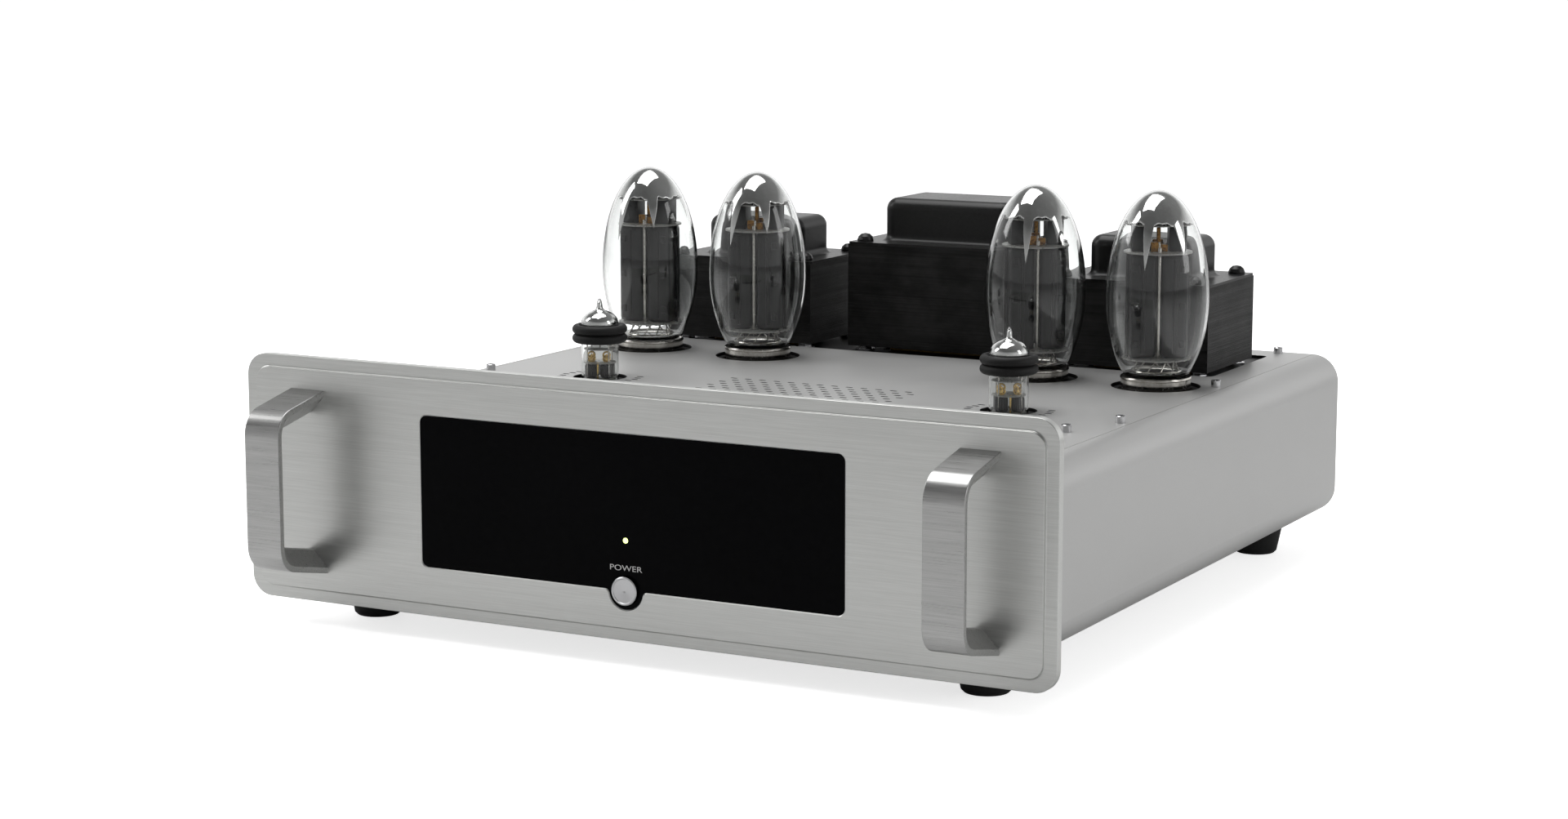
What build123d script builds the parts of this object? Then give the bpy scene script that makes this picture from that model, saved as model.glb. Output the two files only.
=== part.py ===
"""Stereo tube amplifier on a steel chassis, one solid piece per sub-part.

Millimetres.  X runs to the right seen from the front, Y runs to the rear, Z runs up.
The origin is the middle of the footprint, on the surface that the feet stand on.
"""
import os
from math import asin, cos, degrees, pi, radians, sin

from build123d import *

# ---- faceplate -------------------------------------------------------------------------------
plate_width = 482.6
plate_height = 135.0
plate_drop = 7.4              # how far the plate hangs below the case
plate_corner = 12.0
rim_thickness = 5.0
rim_width = 6.8
field_rise = 1.5              # raised inner field, in front of the rim
field_corner = 8.0
cove_radius = 0.9
window_width = 254.0
window_height = 82.0
window_low = 26.9             # bottom of the window above the bottom of the plate
window_corner = 4.0
window_sink = 0.6             # glossy panel set back from the field
window_gap = 0.15
notch_room = 2.6              # ring of window round the button
notch_entry = 2.5

# ---- case ------------------------------------------------------------------------------------
case_width = 444.0
case_height = 97.1
case_depth = 473.0            # from the rim's front plane to the rear panel
case_corner = 16.0
foot_height = 20.4
sheet = 2.0                   # skins, covers and panels
lip_thickness = 3.0
lip_reach = 28.0              # flange of a side panel, under the cover's edge
web = 2.0
boss = 9.0
fit_gap = 0.3                 # between sheets that meet edge to edge
panel_gap = 0.2               # round an end panel

# ---- handles ---------------------------------------------------------------------------------
handle_spread = 200.3         # middle of a handle from the centre line
handle_width = 22.2
handle_reach = 42.5           # strap's front face ahead of the rim plane
handle_high = 101.4           # over the two roots, at the rim plane
handle_low = 16.4             # lower root above the bottom of the plate
handle_droop = 8.9            # how far an arm closes in from root to strap
handle_bend = 14.5
handle_edge = 3.2
handle_ridge = 12.5
handle_screw = 5.0
handle_screw_head = 8.5

# ---- fasteners -------------------------------------------------------------------------------
screw = 3.0
screw_hole = screw + 0.4      # clear hole
screw_head = screw + 2.5
screw_head_height = 4.0
screw_length = 7.0
screw_socket = 2.5
screw_socket_depth = 2.2
screw_bore = screw + 0.1      # tapped hole that a screw goes into
screw_end_gap = 0.2
screw_edge = 0.4              # chamfer round a head

# ---- power button and lamp ---------------------------------------------------------------------
button_diameter = 15.2
button_gap = 0.35
button_proud = 2.6
button_travel = 2.5
stem_diameter = 6.0
stem_entry = 6.0              # how far the stem reaches into the switch
stem_gap = 0.25
button_end_gap = 0.5          # room left when the button is pressed home
switch_size = (22.0, 20.0, 18.0)
lamp_diameter = 3.0
lamp_high = 53.2              # above the bottom of the plate

# ---- power tubes -------------------------------------------------------------------------------
power_inner = 92.0            # tube axes from the centre line
power_outer = 168.0
power_back = 308.0            # tube axes behind the rim plane
power_hole = 50.8
bulb_radius = 29.6
bulb_middle = 50.0            # heights above the deck
bulb_top = 112.3
bulb_low_axis = 55.0
bulb_start = 6.6
bulb_wall = 1.2
ring_diameter = 40.0
ring_top = 5.8
base_room = 2.0               # round a tube's base in the inner plate
octal_circle = 17.45
octal_pin = 2.35
octal_pin_length = 11.0
octal_key = 7.8
pin_gap = 0.25
mica_low = 16.6
mica_high = 77.2
spacer_high = 93.0
mica_diameter = 38.4
spacer_diameter = 36.0
mica = 0.8
anode_size = (33.0, 21.0)

# ---- driver tubes ------------------------------------------------------------------------------
driver_spread = 130.4
driver_back = 187.0
driver_hole = 30.8
driver_room = 1.1             # round a driver tube in the inner plate
driver_diameter = 21.8
driver_top = 46.0             # tip above the deck
driver_shoulder = 39.4
driver_wall = 0.8
noval_circle = 11.9
noval_pin = 1.0
noval_pin_length = 6.5
ring_section = 5.4            # damping ring
ring_pitch = 5.2              # two rings press each other a little flat
ring_squeeze = 0.25           # and flat against the glass
ring_low = 23.0               # middle of the lower damping ring above the deck
socket_depth = 14.0
octal_body = 34.0
octal_flange = 50.0
noval_body = 21.0
noval_flange = 34.0
flange = 2.5

# ---- transformers ------------------------------------------------------------------------------
pan_room = 2.0                # opening in the cover, ahead of the output transformers
pan_side_room = 3.0           # beside them
pan_back_room = 3.5           # behind the power transformer
pan_corner = 5.0
stack_lift = 3.5              # nut and washer under each corner of a stack
power_stack = (118.0, 85.0, 63.2)
power_stack_front = 364.5
power_bell = (86.0, 54.0, 28.0)
output_stack = (100.0, 76.0, 50.0)
output_stack_front = 356.0
output_middle = 131.0
output_bell = (67.0, 43.0, 26.0)
pan_front = output_stack_front - pan_room
pan_back = power_stack_front + power_stack[1] + pan_back_room
pan_width = 2 * (output_middle + output_stack[0] / 2 + pan_side_room)
bell_sheet = 1.5
bell_fillet = 7.0
bell_room = 0.8               # between a coil and its cover
coil_gap = 0.75               # between a coil and the outer edge of its window
coil_corner = 6.0
coil_headroom = 4.0
bolt = 5.0
bolt_inset = 8.0
dome_diameter = 10.0
dome_height = 5.0
nut_across = 8.0
nut_height = 2.3
washer_diameter = 12.0

# ---- vents -------------------------------------------------------------------------------------
vent_length = 4.6
vent_width = 2.0
vent_pitch = 9.4
vent_row = 7.0
vent_columns = 13
vent_rows = 9
vent_front = 163.0

# ---- rear panel --------------------------------------------------------------------------------
tag_width = 4.8
tag_sheet = 0.8
inlet_high = 62.0             # above the surface that the feet stand on
inlet_mouth = (24.4, 17.0)
inlet_body = (inlet_mouth[0] + 3.0, inlet_mouth[1] + 3.0)
inlet_flange = (inlet_body[0] + 3.6, inlet_body[1] + 4.0)
inlet_mouth_depth = 15.5
fuse_body = 12.0
jack_body = 8.0
jack_barrel = 8.3
bush_body = 9.0
bush_lip = 2.0
fuse_middle = 48.0
jack_middles = (-96.0, -72.0)
post_middles = (-178.0, -152.0, 152.0, 178.0)
post_reach = 24.0
post_diameter = 6.0
post_gap = 0.1
post_flange = 13.0
banana_bore = 4.1
banana_depth = 17.0
knob_diameter = 14.0
knob_length = 16.0
fuse_diameter = 5.0
fuse_bore = fuse_diameter + 1.4
fuse_length = 20.0
fuse_cap_diameter = 13.0
fuse_cap_length = 9.0

# ---- feet --------------------------------------------------------------------------------------
foot_middle = 186.0
foot_front = 40.0
foot_back = 432.0
foot_top = 34.0
foot_bottom = 26.0
foot_recess = screw_head + 3.5
foot_web = 2.5
foot_edge = 1.5

# ---- boards ------------------------------------------------------------------------------------
board = 1.6
board_gap = 9.0
standoff = 7.0
can_diameter = 30.0
can_height = 45.0

# ---- places worked out from the sizes ------------------------------------------------------------
depth = handle_reach + case_depth + post_reach
rim_y = handle_reach - depth / 2
field_y = rim_y - field_rise
plate_back = rim_y + rim_thickness
rear_y = rim_y + case_depth
case_low = foot_height
deck = case_low + case_height
plate_low = case_low - plate_drop
plate_middle = plate_low + plate_height / 2
half_case = case_width / 2
seam = half_case - case_corner
skin_inner = half_case - sheet
inner_plate_top = deck - sheet
inner_plate_low = inner_plate_top - sheet
lip_top = inner_plate_low
lip_low = case_low + sheet
socket_low = inner_plate_low - socket_depth
stack_low = inner_plate_top + stack_lift
subpanel_back = plate_back + sheet
panel_front = rear_y - sheet
lip_end = seam - lip_reach
cover_screws = (
    (foot_middle, 137.0),
    (seam - 6.0, 177.0),
    (seam - 6.0, 320.0),
    (foot_middle, case_depth - 8.0),
)
boss_levels = (case_low + 18.0, deck - 18.0)
boss_x = skin_inner - boss / 2
plate_screw_x = 150.0
plate_screw_levels = (case_low + 14.0, deck - 12.0)
foot_places = [
    (side * foot_middle, rim_y + back)
    for side in (-1, 1)
    for back in (foot_front, foot_back)
]
power_tubes = [
    (x, rim_y + power_back)
    for x in (-power_outer, -power_inner, power_inner, power_outer)
]
driver_tubes = {
    "left": (-driver_spread, rim_y + driver_back),
    "right": (driver_spread, rim_y + driver_back),
}
transformers = {
    "power": (0.0, rim_y + power_stack_front + power_stack[1] / 2, power_stack, power_bell),
    "output_left": (
        -output_middle,
        rim_y + output_stack_front + output_stack[1] / 2,
        output_stack,
        output_bell,
    ),
    "output_right": (
        output_middle,
        rim_y + output_stack_front + output_stack[1] / 2,
        output_stack,
        output_bell,
    ),
}


# ---- small helpers -------------------------------------------------------------------------------
def block(x0, x1, y0, y1, z0, z1):
    """Box between two opposite corners."""
    size = Box(x1 - x0, y1 - y0, z1 - z0)
    return Pos((x0 + x1) / 2, (y0 + y1) / 2, (z0 + z1) / 2) * size


def upright(x, y, low, high, diameter):
    """Cylinder along Z."""
    return Pos(x, y, (low + high) / 2) * Cylinder(diameter / 2, high - low)


def lying(x, z, front, back, diameter):
    """Cylinder along Y."""
    return Pos(x, (front + back) / 2, z) * Rot(90, 0, 0) * Cylinder(diameter / 2, back - front)


def facing(y, z=0.0, x=0.0):
    """Plane that looks to the front, with X to the right."""
    return Plane(origin=(x, y, z), x_dir=(1, 0, 0), z_dir=(0, -1, 0))


def turned(points):
    """Solid of revolution about Z from (radius, height) corners."""
    outline = [(radius, 0, height) for radius, height in points]
    return revolve(make_face(Polyline(*outline, close=True)), Axis.Z)


def group(solids):
    """Several separate solids as one node."""
    return Compound(children=list(solids))


def save(name, shape):
    export_step(shape, os.path.join("parts", name + ".step"))


def tag(x, z, front, back):
    """Flat solder lug along Y."""
    return block(x - tag_width / 2, x + tag_width / 2, front, back, z - tag_sheet / 2, z + tag_sheet / 2)


def cap_screw():
    """Socket head screw, seated at z = 0 with its head up."""
    head = upright(0, 0, 0, screw_head_height, screw_head)
    head = chamfer(head.edges().group_by(Axis.Z)[-1], screw_edge)
    hex_hole = extrude(RegularPolygon(screw_socket / 2, 6, major_radius=False), screw_socket_depth)
    shank = upright(0, 0, -screw_length, 0, screw)
    return head + shank - Pos(0, 0, screw_head_height - screw_socket_depth) * hex_hole


# ---- faceplate, window and handles -----------------------------------------------------------------
def window_outline(grow=0.0):
    """Window opening with the round notch for the button in its lower edge."""
    middle = window_low + window_height / 2 - plate_height / 2
    opening = Pos(0, middle) * Rectangle(window_width + 2 * grow, window_height + 2 * grow)
    opening = fillet(opening.vertices(), window_corner + grow)
    notch = Pos(0, window_low - plate_height / 2) * Circle(button_diameter / 2 + notch_room + grow)
    both = opening + notch
    low_edge = middle - window_height / 2 - grow
    entry = [v for v in both.vertices() if abs(v.Y - low_edge) < 0.01]
    return fillet(sorted(entry, key=lambda v: abs(v.X))[:2], notch_entry - grow)


def make_faceplate():
    field_width = plate_width - 2 * rim_width
    field_height = plate_height - 2 * rim_width
    rim = extrude(
        facing(plate_back, plate_middle) * RectangleRounded(plate_width, plate_height, plate_corner),
        rim_thickness,
    )
    rim = fillet(rim.edges().group_by(Axis.Y)[0], 0.4)
    field = extrude(
        facing(rim_y, plate_middle) * RectangleRounded(field_width, field_height, field_corner),
        field_rise,
    )
    plate = rim + field
    step = [
        edge
        for edge in plate.edges().filter_by_position(Axis.Y, rim_y - 0.01, rim_y + 0.01)
        if abs(edge.center().X) < plate_width / 2 - rim_width + 0.01
        and abs(edge.center().Z - plate_middle) < plate_height / 2 - rim_width + 0.01
    ]
    plate = fillet(step, cove_radius)
    plate = fillet(plate.edges().filter_by_position(Axis.Y, field_y - 0.01, field_y + 0.01), 0.5)
    opening = extrude(facing(plate_back, plate_middle) * window_outline(), rim_thickness + field_rise)
    plate = plate - opening
    mouth = plate.edges().filter_by_position(Axis.Y, field_y - 0.001, field_y + 0.001)
    mouth = [edge for edge in mouth if abs(edge.center().X) < window_width / 2 + 1]
    mouth = [edge for edge in mouth if abs(edge.center().Z - plate_middle) < plate_height / 2 - 12]
    plate = chamfer(mouth, 0.5)
    for x, z in handle_screw_places():
        plate = plate - lying(x, z, field_y - 1, plate_back + 1, handle_screw + 0.6)
    for side in (-1, 1):
        for z in boss_levels:
            plate = plate - lying(side * boss_x, z, plate_back - 4.3, plate_back + 1, screw_head + 0.8)
        for z in plate_screw_levels:
            hole_end = plate_back - screw_length + sheet - screw_end_gap
            plate = plate - lying(side * plate_screw_x, z, hole_end, plate_back + 1, screw_bore)
    return plate


def make_window():
    """Glossy panel that fills the opening, pierced for the button and the lamp."""
    front = field_y + window_sink
    panel = extrude(
        facing(plate_back, plate_middle) * window_outline(-window_gap),
        plate_back - front,
    )
    button_z = plate_low + window_low
    panel = panel - lying(0, button_z, front - 1, plate_back + 1, button_diameter + 2 * button_gap)
    return panel - lying(0, plate_low + lamp_high, front - 1, plate_back + 1, lamp_diameter)


def handle_screw_places():
    """Middle of each handle's roots."""
    upper = plate_low + handle_low + handle_high - handle_ridge / 2 - 0.5
    lower = plate_low + handle_low + handle_ridge / 2 + 0.5
    return [(side * handle_spread, z) for side in (-1, 1) for z in (upper, lower)]


def make_handle(side):
    """Bent strap with a flat face and a ridge along its inside."""
    x = side * handle_spread
    strap_y = rim_y - handle_reach
    low = plate_low + handle_low
    high = low + handle_high
    slope = handle_droop / handle_reach
    root_y = rim_y + 6.0
    path = FilletPolyline(
        (x, root_y, high + 6.0 * slope),
        (x, strap_y, high - handle_droop),
        (x, strap_y, low + handle_droop),
        (x, root_y, low - 6.0 * slope),
        radius=handle_bend,
    )
    half = handle_width / 2
    side_run = half - (handle_ridge - handle_edge)
    section = make_face(
        Polyline(
            (-half, 0),
            (half, 0),
            (half, -handle_edge),
            (side_run, -handle_ridge),
            (-side_run, -handle_ridge),
            (-half, -handle_edge),
            close=True,
        )
    )
    corners = section.vertices()
    section = fillet([v for v in corners if v.Y < -handle_edge - 1], 3.5)
    section = fillet([v for v in section.vertices() if v.Y > -handle_edge - 0.1], 0.5)
    start = Plane(origin=path @ 0, x_dir=(1, 0, 0), z_dir=path % 0)
    strap = sweep(start * section, path=path)
    strap = strap - block(x - 30, x + 30, field_y, root_y + 30, low - 40, high + 40)
    for place_x, z in handle_screw_places():
        if place_x * side > 0:
            strap = strap - lying(x, z, field_y - 9.0, field_y + 1, handle_screw + 0.1)
    return strap


def make_handle_screws():
    """Screws from behind the faceplate into the handle roots."""
    screws = []
    for x, z in handle_screw_places():
        shank = lying(x, z, field_y - 8.0, plate_back, handle_screw)
        head = lying(x, z, plate_back, plate_back + 4.0, handle_screw_head)
        hex_hole = extrude(RegularPolygon(2.0, 6, major_radius=False), 3.0)
        hex_hole = Pos(x, plate_back + 4.5, z) * Rot(90, 0, 0) * hex_hole
        screws.append(shank + head - hex_hole)
    return group(screws)


# ---- case ------------------------------------------------------------------------------------------
def section_box(x0, x1, z0, z1):
    """Rectangle in the plane that looks to the front."""
    return Pos((x0 + x1) / 2, (z0 + z1) / 2) * Rectangle(x1 - x0, z1 - z0)


def make_side_panel(side):
    """Rounded side extrusion with an upper and a lower flange and two screw bosses."""
    middle = case_low + case_height / 2
    outer = Pos(0, middle) * RectangleRounded(case_width, case_height, case_corner)
    inner = Pos(0, middle) * RectangleRounded(
        case_width - 2 * sheet, case_height - 2 * sheet, case_corner - sheet
    )
    wanted = section_box(seam, half_case + 1, case_low - 1, deck + 1)
    skin = (outer - inner) & wanted
    upper_web = section_box(seam, seam + web, lip_top - lip_thickness, deck)
    upper_lip = section_box(lip_end, seam + web, lip_top - lip_thickness, lip_top)
    lower_web = section_box(seam, seam + web, case_low, lip_low + lip_thickness)
    lower_lip = section_box(lip_end, seam + web, lip_low, lip_low + lip_thickness)
    ribs = (upper_web + upper_lip + lower_web + lower_lip) & outer
    for z in boss_levels:
        ribs = ribs + section_box(boss_x - boss / 2, skin_inner + 0.5, z - boss / 2, z + boss / 2)
    shell = extrude(facing(rear_y) * skin, rear_y - plate_back)
    inside = extrude(facing(panel_front) * ribs, panel_front - subpanel_back)
    panel = shell + inside
    for x, back in cover_screws:
        panel = panel - upright(x, rim_y + back, lip_top - lip_thickness - 1, lip_top + 1, screw_bore)
    for x, y in foot_places:
        if x > 0:
            panel = panel - upright(x, y, lip_low - 1, lip_low + lip_thickness + 1, screw_bore)
    for x, y in power_tubes:
        notch = max(octal_flange, ring_diameter + 1) + 2 * fit_gap
        if x > 0:
            panel = panel - upright(x, y, lip_top - lip_thickness - 1, lip_top + 0.5, notch)
    for z in boss_levels:
        for front in (subpanel_back, panel_front - 10):
            panel = panel - lying(boss_x, z, front - 1, front + 11, screw_bore)
    return panel if side > 0 else mirror(panel, about=Plane.YZ)


def vent_slots():
    """Staggered field of short slots, and a small cluster beside each driver tube."""
    places = []
    for row in range(vent_rows):
        shift = vent_pitch / 2 if row % 2 else 0.0
        for column in range(vent_columns):
            x = (column - (vent_columns - 1) / 2) * vent_pitch + shift - vent_pitch / 4
            places.append((x, rim_y + vent_front + row * vent_row))
    for x, y in driver_tubes.values():
        for side in (-1, 1):
            for step in (-2, -1, 0, 1, 2):
                reach = driver_hole / 2 + 8.0 - 1.2 * abs(step)
                places.append((x + side * reach, y + step * vent_row * 0.75))
    return places


def make_top_cover():
    half = seam - fit_gap
    front = plate_back
    back = rear_y
    sheet_face = Pos(0, (front + back) / 2) * Rectangle(2 * half, back - front)
    pan = Pos(0, rim_y + (pan_front + pan_back) / 2) * RectangleRounded(
        pan_width, pan_back - pan_front, pan_corner
    )
    holes = [Pos(x, y) * Circle(power_hole / 2) for x, y in power_tubes]
    holes += [Pos(x, y) * Circle(driver_hole / 2) for x, y in driver_tubes.values()]
    holes += [Pos(x, y) * SlotOverall(vent_length, vent_width) for x, y in vent_slots()]
    for x, back_step in cover_screws:
        holes += [Pos(side * x, rim_y + back_step) * Circle(screw_hole / 2) for side in (-1, 1)]
    outline = sheet_face - pan - holes
    cover = Pos(0, 0, inner_plate_top) * extrude(outline, sheet)
    top_loops = cover.faces().sort_by(Axis.Z)[-1].inner_wires()
    rims = [wire for wire in top_loops if wire.length > pi * driver_hole - 1]
    return chamfer([edge for wire in rims for edge in wire.edges()], 0.35)


def make_chassis_plate():
    """Black inner plate that carries the sockets and the transformers."""
    half = seam - fit_gap
    front = subpanel_back + panel_gap
    back = panel_front - panel_gap
    outline = Pos(0, (front + back) / 2) * Rectangle(2 * half, back - front)
    holes = [Pos(x, y) * Circle(ring_diameter / 2 + base_room) for x, y in power_tubes]
    holes += [Pos(x, y) * Circle(driver_diameter / 2 + driver_room) for x, y in driver_tubes.values()]
    vent_back = vent_front + (vent_rows - 1) * vent_row
    holes.append(
        Pos(0, rim_y + (vent_front + vent_back) / 2)
        * Rectangle((vent_columns + 1) * vent_pitch, vent_back - vent_front + 6)
    )
    for x, y, stack, bell in transformers.values():
        coil_x, coil_y = coil_plan(bell)
        holes.append(Pos(x, y) * Rectangle(coil_x + 4, coil_y + 4))
        holes += [Pos(bx, by) * Circle(bolt / 2 + 0.3) for bx, by in bolt_places(x, y, stack)]
    for x, back_step in cover_screws:
        holes += [Pos(side * x, rim_y + back_step) * Circle(screw_hole / 2) for side in (-1, 1)]
    return Pos(0, 0, inner_plate_low) * extrude(outline - holes, sheet)


def make_bottom_cover():
    """Bottom sheet with air slots and four pressed-in standoffs for the supply board."""
    half = seam - fit_gap
    outline = Pos(0, (plate_back + rear_y) / 2) * Rectangle(2 * half, rear_y - plate_back)
    holes = []
    for row in range(5):
        for column in range(9):
            x = (column - 4) * 24.0
            holes.append(Pos(x, rim_y + 190 + row * 12) * SlotOverall(16, 3.5))
    holes += [Pos(x, y) * Circle(screw_hole / 2) for x, y in foot_places]
    cover = Pos(0, 0, case_low) * extrude(outline - holes, sheet)
    for x, y in standoff_places():
        cover = cover + upright(x, y, case_low + sheet, case_low + sheet + board_gap, standoff)
    return cover


def end_panel_outline():
    height = case_height - 2 * sheet - 2 * panel_gap
    return RectangleRounded(
        case_width - 2 * sheet - 2 * panel_gap, height, case_corner - sheet - panel_gap
    )


def make_front_subpanel():
    """Steel panel behind the faceplate, which carries the power switch."""
    middle = case_low + case_height / 2
    panel = extrude(facing(subpanel_back, middle) * end_panel_outline(), sheet)
    button_z = plate_low + window_low
    panel = panel - lying(0, button_z, plate_back - 1, subpanel_back + 1, stem_diameter + 2.0)
    panel = panel - lying(0, plate_low + lamp_high, plate_back - 1, subpanel_back + 1, lamp_diameter)
    for x, z in handle_screw_places():
        panel = panel - lying(x, z, plate_back - 1, subpanel_back + 1, handle_screw_head + 1.5)
    for side in (-1, 1):
        for z in boss_levels:
            panel = panel - lying(side * boss_x, z, plate_back - 1, subpanel_back + 1, screw_hole)
        for z in plate_screw_levels:
            panel = panel - lying(side * plate_screw_x, z, plate_back - 1, subpanel_back + 1, screw_hole)
    return panel


def make_rear_panel():
    middle = case_low + case_height / 2
    panel = extrude(facing(rear_y, middle) * end_panel_outline(), sheet)
    for side in (-1, 1):
        for z in boss_levels:
            panel = panel - lying(side * boss_x, z, panel_front - 1, rear_y + 1, screw_hole)
    cutout = block(-inlet_body[0] / 2 - 0.2, inlet_body[0] / 2 + 0.2, panel_front - 1, rear_y + 1,
                   inlet_high - inlet_body[1] / 2 - 0.2, inlet_high + inlet_body[1] / 2 + 0.2)
    panel = panel - cutout
    panel = panel - lying(fuse_middle, inlet_high, panel_front - 1, rear_y + 1, fuse_body + 0.3)
    for x in jack_middles:
        panel = panel - lying(x, inlet_high, panel_front - 1, rear_y + 1, jack_body + 0.3)
    for x in post_middles:
        panel = panel - lying(x, inlet_high, panel_front - 1, rear_y + 1, bush_body + 0.2)
    return panel


def make_case_screws():
    """All the equal cap screws of the case: cover, rear panel, front panels and feet."""
    one = cap_screw()
    screws = []
    for x, back in cover_screws:
        for side in (-1, 1):
            screws.append(Pos(side * x, rim_y + back, deck) * one)
    for side in (-1, 1):
        for z in boss_levels:
            screws.append(Pos(side * boss_x, rear_y, z) * Rot(-90, 0, 0) * one)
            screws.append(Pos(side * boss_x, plate_back, z) * Rot(90, 0, 0) * one)
        for z in plate_screw_levels:
            screws.append(Pos(side * plate_screw_x, subpanel_back, z) * Rot(-90, 0, 0) * one)
    for x, y in foot_places:
        screws.append(Pos(x, y, case_low - foot_web) * Rot(180, 0, 0) * one)
    return group(screws)


def make_feet():
    feet = []
    for x, y in foot_places:
        body = turned(
            [
                (0, 0),
                (foot_bottom / 2 - foot_edge, 0),
                (foot_bottom / 2, foot_edge),
                (foot_top / 2, foot_height),
                (0, foot_height),
            ]
        )
        body = body - upright(0, 0, -1, foot_height - foot_web, foot_recess)
        body = body - upright(0, 0, 1, foot_height + 1, screw + 0.3)
        feet.append(Pos(x, y, 0) * body)
    return group(feet)


# ---- power button, switch and lamp -----------------------------------------------------------------
def make_power_button():
    """Button with a shallow turned cone in its face, on a long stem."""
    radius = button_diameter / 2
    front = field_y + window_sink - button_proud
    long = subpanel_back + stem_entry - front
    head = plate_back - front - button_travel - button_end_gap
    profile = [
        (0, 1.1),
        (radius - 1.4, 0.35),
        (radius - 1.1, 0),
        (radius - 0.5, 0),
        (radius, 0.5),
        (radius, head),
        (stem_diameter / 2, head),
        (stem_diameter / 2, long),
        (0, long),
    ]
    return Pos(0, front, plate_low + window_low) * Rot(-90, 0, 0) * turned(profile)


def make_power_switch():
    """Switch body behind the front panel, bored for the button's stem."""
    width, long, high = switch_size
    z = plate_low + window_low
    body = block(-width / 2, width / 2, subpanel_back, subpanel_back + long, z - high / 2, z + high / 2)
    body = fillet(body.edges().filter_by(Axis.Y), 1.5)
    bore_end = subpanel_back + stem_entry + button_travel + button_end_gap
    body = body - lying(0, z, subpanel_back - 1, bore_end, stem_diameter + 2 * stem_gap)
    for x in (-6, 6):
        body = body + tag(x, z, subpanel_back + long - 1, subpanel_back + long + 7)
    return body


def make_lamp():
    front = field_y + window_sink
    pipe = lying(0, plate_low + lamp_high, front - 0.4, subpanel_back + 4.0, lamp_diameter - 0.1)
    pipe = fillet(pipe.edges().group_by(Axis.Y)[0], 0.35)
    return pipe + lying(0, plate_low + lamp_high, subpanel_back, subpanel_back + 2.0, lamp_diameter + 2.0)


# ---- power tubes -----------------------------------------------------------------------------------
def quarter_oval(radius, axis, start, steps):
    """Points on an oval about the bulb's middle, from the angle start round to its end."""
    end = pi / 2 if start >= 0 else 0.0
    for step in range(steps + 1):
        angle = start + (end - start) * step / steps
        yield radius * cos(angle), bulb_middle + axis * sin(angle)


def bulb_solid(shrink, low):
    """Egg-shaped solid: two half ovals that meet at the widest level."""
    radius = bulb_radius - shrink
    top_axis = bulb_top - bulb_middle - shrink
    low_axis = bulb_low_axis - shrink
    start = asin((low - bulb_middle) / low_axis)
    rising = (-radius * sin(start), low_axis * cos(start))
    lower = Spline(*quarter_oval(radius, low_axis, start, 4), tangents=[rising, (0, 1)])
    upper = Spline(*quarter_oval(radius, top_axis, 0.0, 6), tangents=[(0, 1), (-1, 0)])
    foot = Polyline(upper @ 1, (0, low), lower @ 0)
    face = make_face(Wire([*lower.edges(), *upper.edges(), *foot.edges()]))
    return revolve(Plane.XZ * face, Axis.Z)


def make_power_glass(x, y):
    glass = bulb_solid(0, bulb_start) - bulb_solid(bulb_wall, bulb_start + 1.5)
    return Pos(x, y, deck) * glass


def octal_places():
    for step in range(8):
        turn = pi / 8 + step * pi / 4
        yield octal_circle / 2 * cos(turn), octal_circle / 2 * sin(turn)


def make_power_base(x, y):
    """Metal ring and its base, eight pins and the keyed spigot."""
    low = inner_plate_low - deck
    radius = ring_diameter / 2
    body = turned(
        [
            (0, low),
            (radius - 0.5, low),
            (radius, low + 0.5),
            (radius, ring_top - 1.4),
            (radius + 0.5, ring_top - 1.0),
            (radius + 0.5, ring_top - 0.5),
            (radius, ring_top),
            (radius - 1.8, ring_top),
            (radius - 2.0, bulb_start),
            (0, bulb_start),
        ]
    )
    for px, py in octal_places():
        body = body + upright(px, py, low - octal_pin_length, low, octal_pin)
    key = upright(0, 0, low - octal_pin_length - 1.5, low, octal_key)
    return Pos(x, y, deck) * (body + key)


def make_power_electrodes(x, y):
    """Stem, support rods, insulator discs, anode and the upper spacer."""
    width, deep = anode_size
    stem_low = bulb_start + 1.5
    parts = turned([(0, stem_low), (12, stem_low), (8, mica_low - 5), (5, mica_low), (0, mica_low)])
    discs = ((mica_low, mica_diameter), (mica_high, mica_diameter), (spacer_high, spacer_diameter))
    for level, across in discs:
        parts = parts + upright(0, 0, level - mica / 2, level + mica / 2, across)
    anode = RectangleRounded(width, deep, 5.0) - RectangleRounded(width - 2, deep - 2, 4.0)
    anode = anode + Rectangle(width + 4, 1.2) - Rectangle(width - 2, 2)
    parts = parts + Pos(0, 0, mica_low) * extrude(anode, mica_high - mica_low)
    for px in (-13.0, 13.0):
        parts = parts + upright(px, 0, mica_low, spacer_high + 3, 1.6)
    for py in (-6.0, 6.0):
        parts = parts + upright(0, py, mica_low, spacer_high + 1, 1.4)
    cup = upright(0, 0, spacer_high - 10, spacer_high - 2, 9.0)
    parts = parts + cup + upright(0, 0, mica_high, spacer_high, 2.0)
    return Pos(x, y, deck) * parts


def make_octal_sockets():
    sockets = []
    for x, y in power_tubes:
        body = upright(0, 0, socket_low, inner_plate_low, octal_body)
        body = body + upright(0, 0, inner_plate_low - flange, inner_plate_low, octal_flange)
        for px, py in octal_places():
            body = body - upright(px, py, socket_low - 1, inner_plate_low + 1, octal_pin + 2 * pin_gap)
        body = body - upright(0, 0, socket_low - 1, inner_plate_low + 1, octal_key + 2 * pin_gap)
        sockets.append(Pos(x, y, 0) * body)
    return group(sockets)


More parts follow.
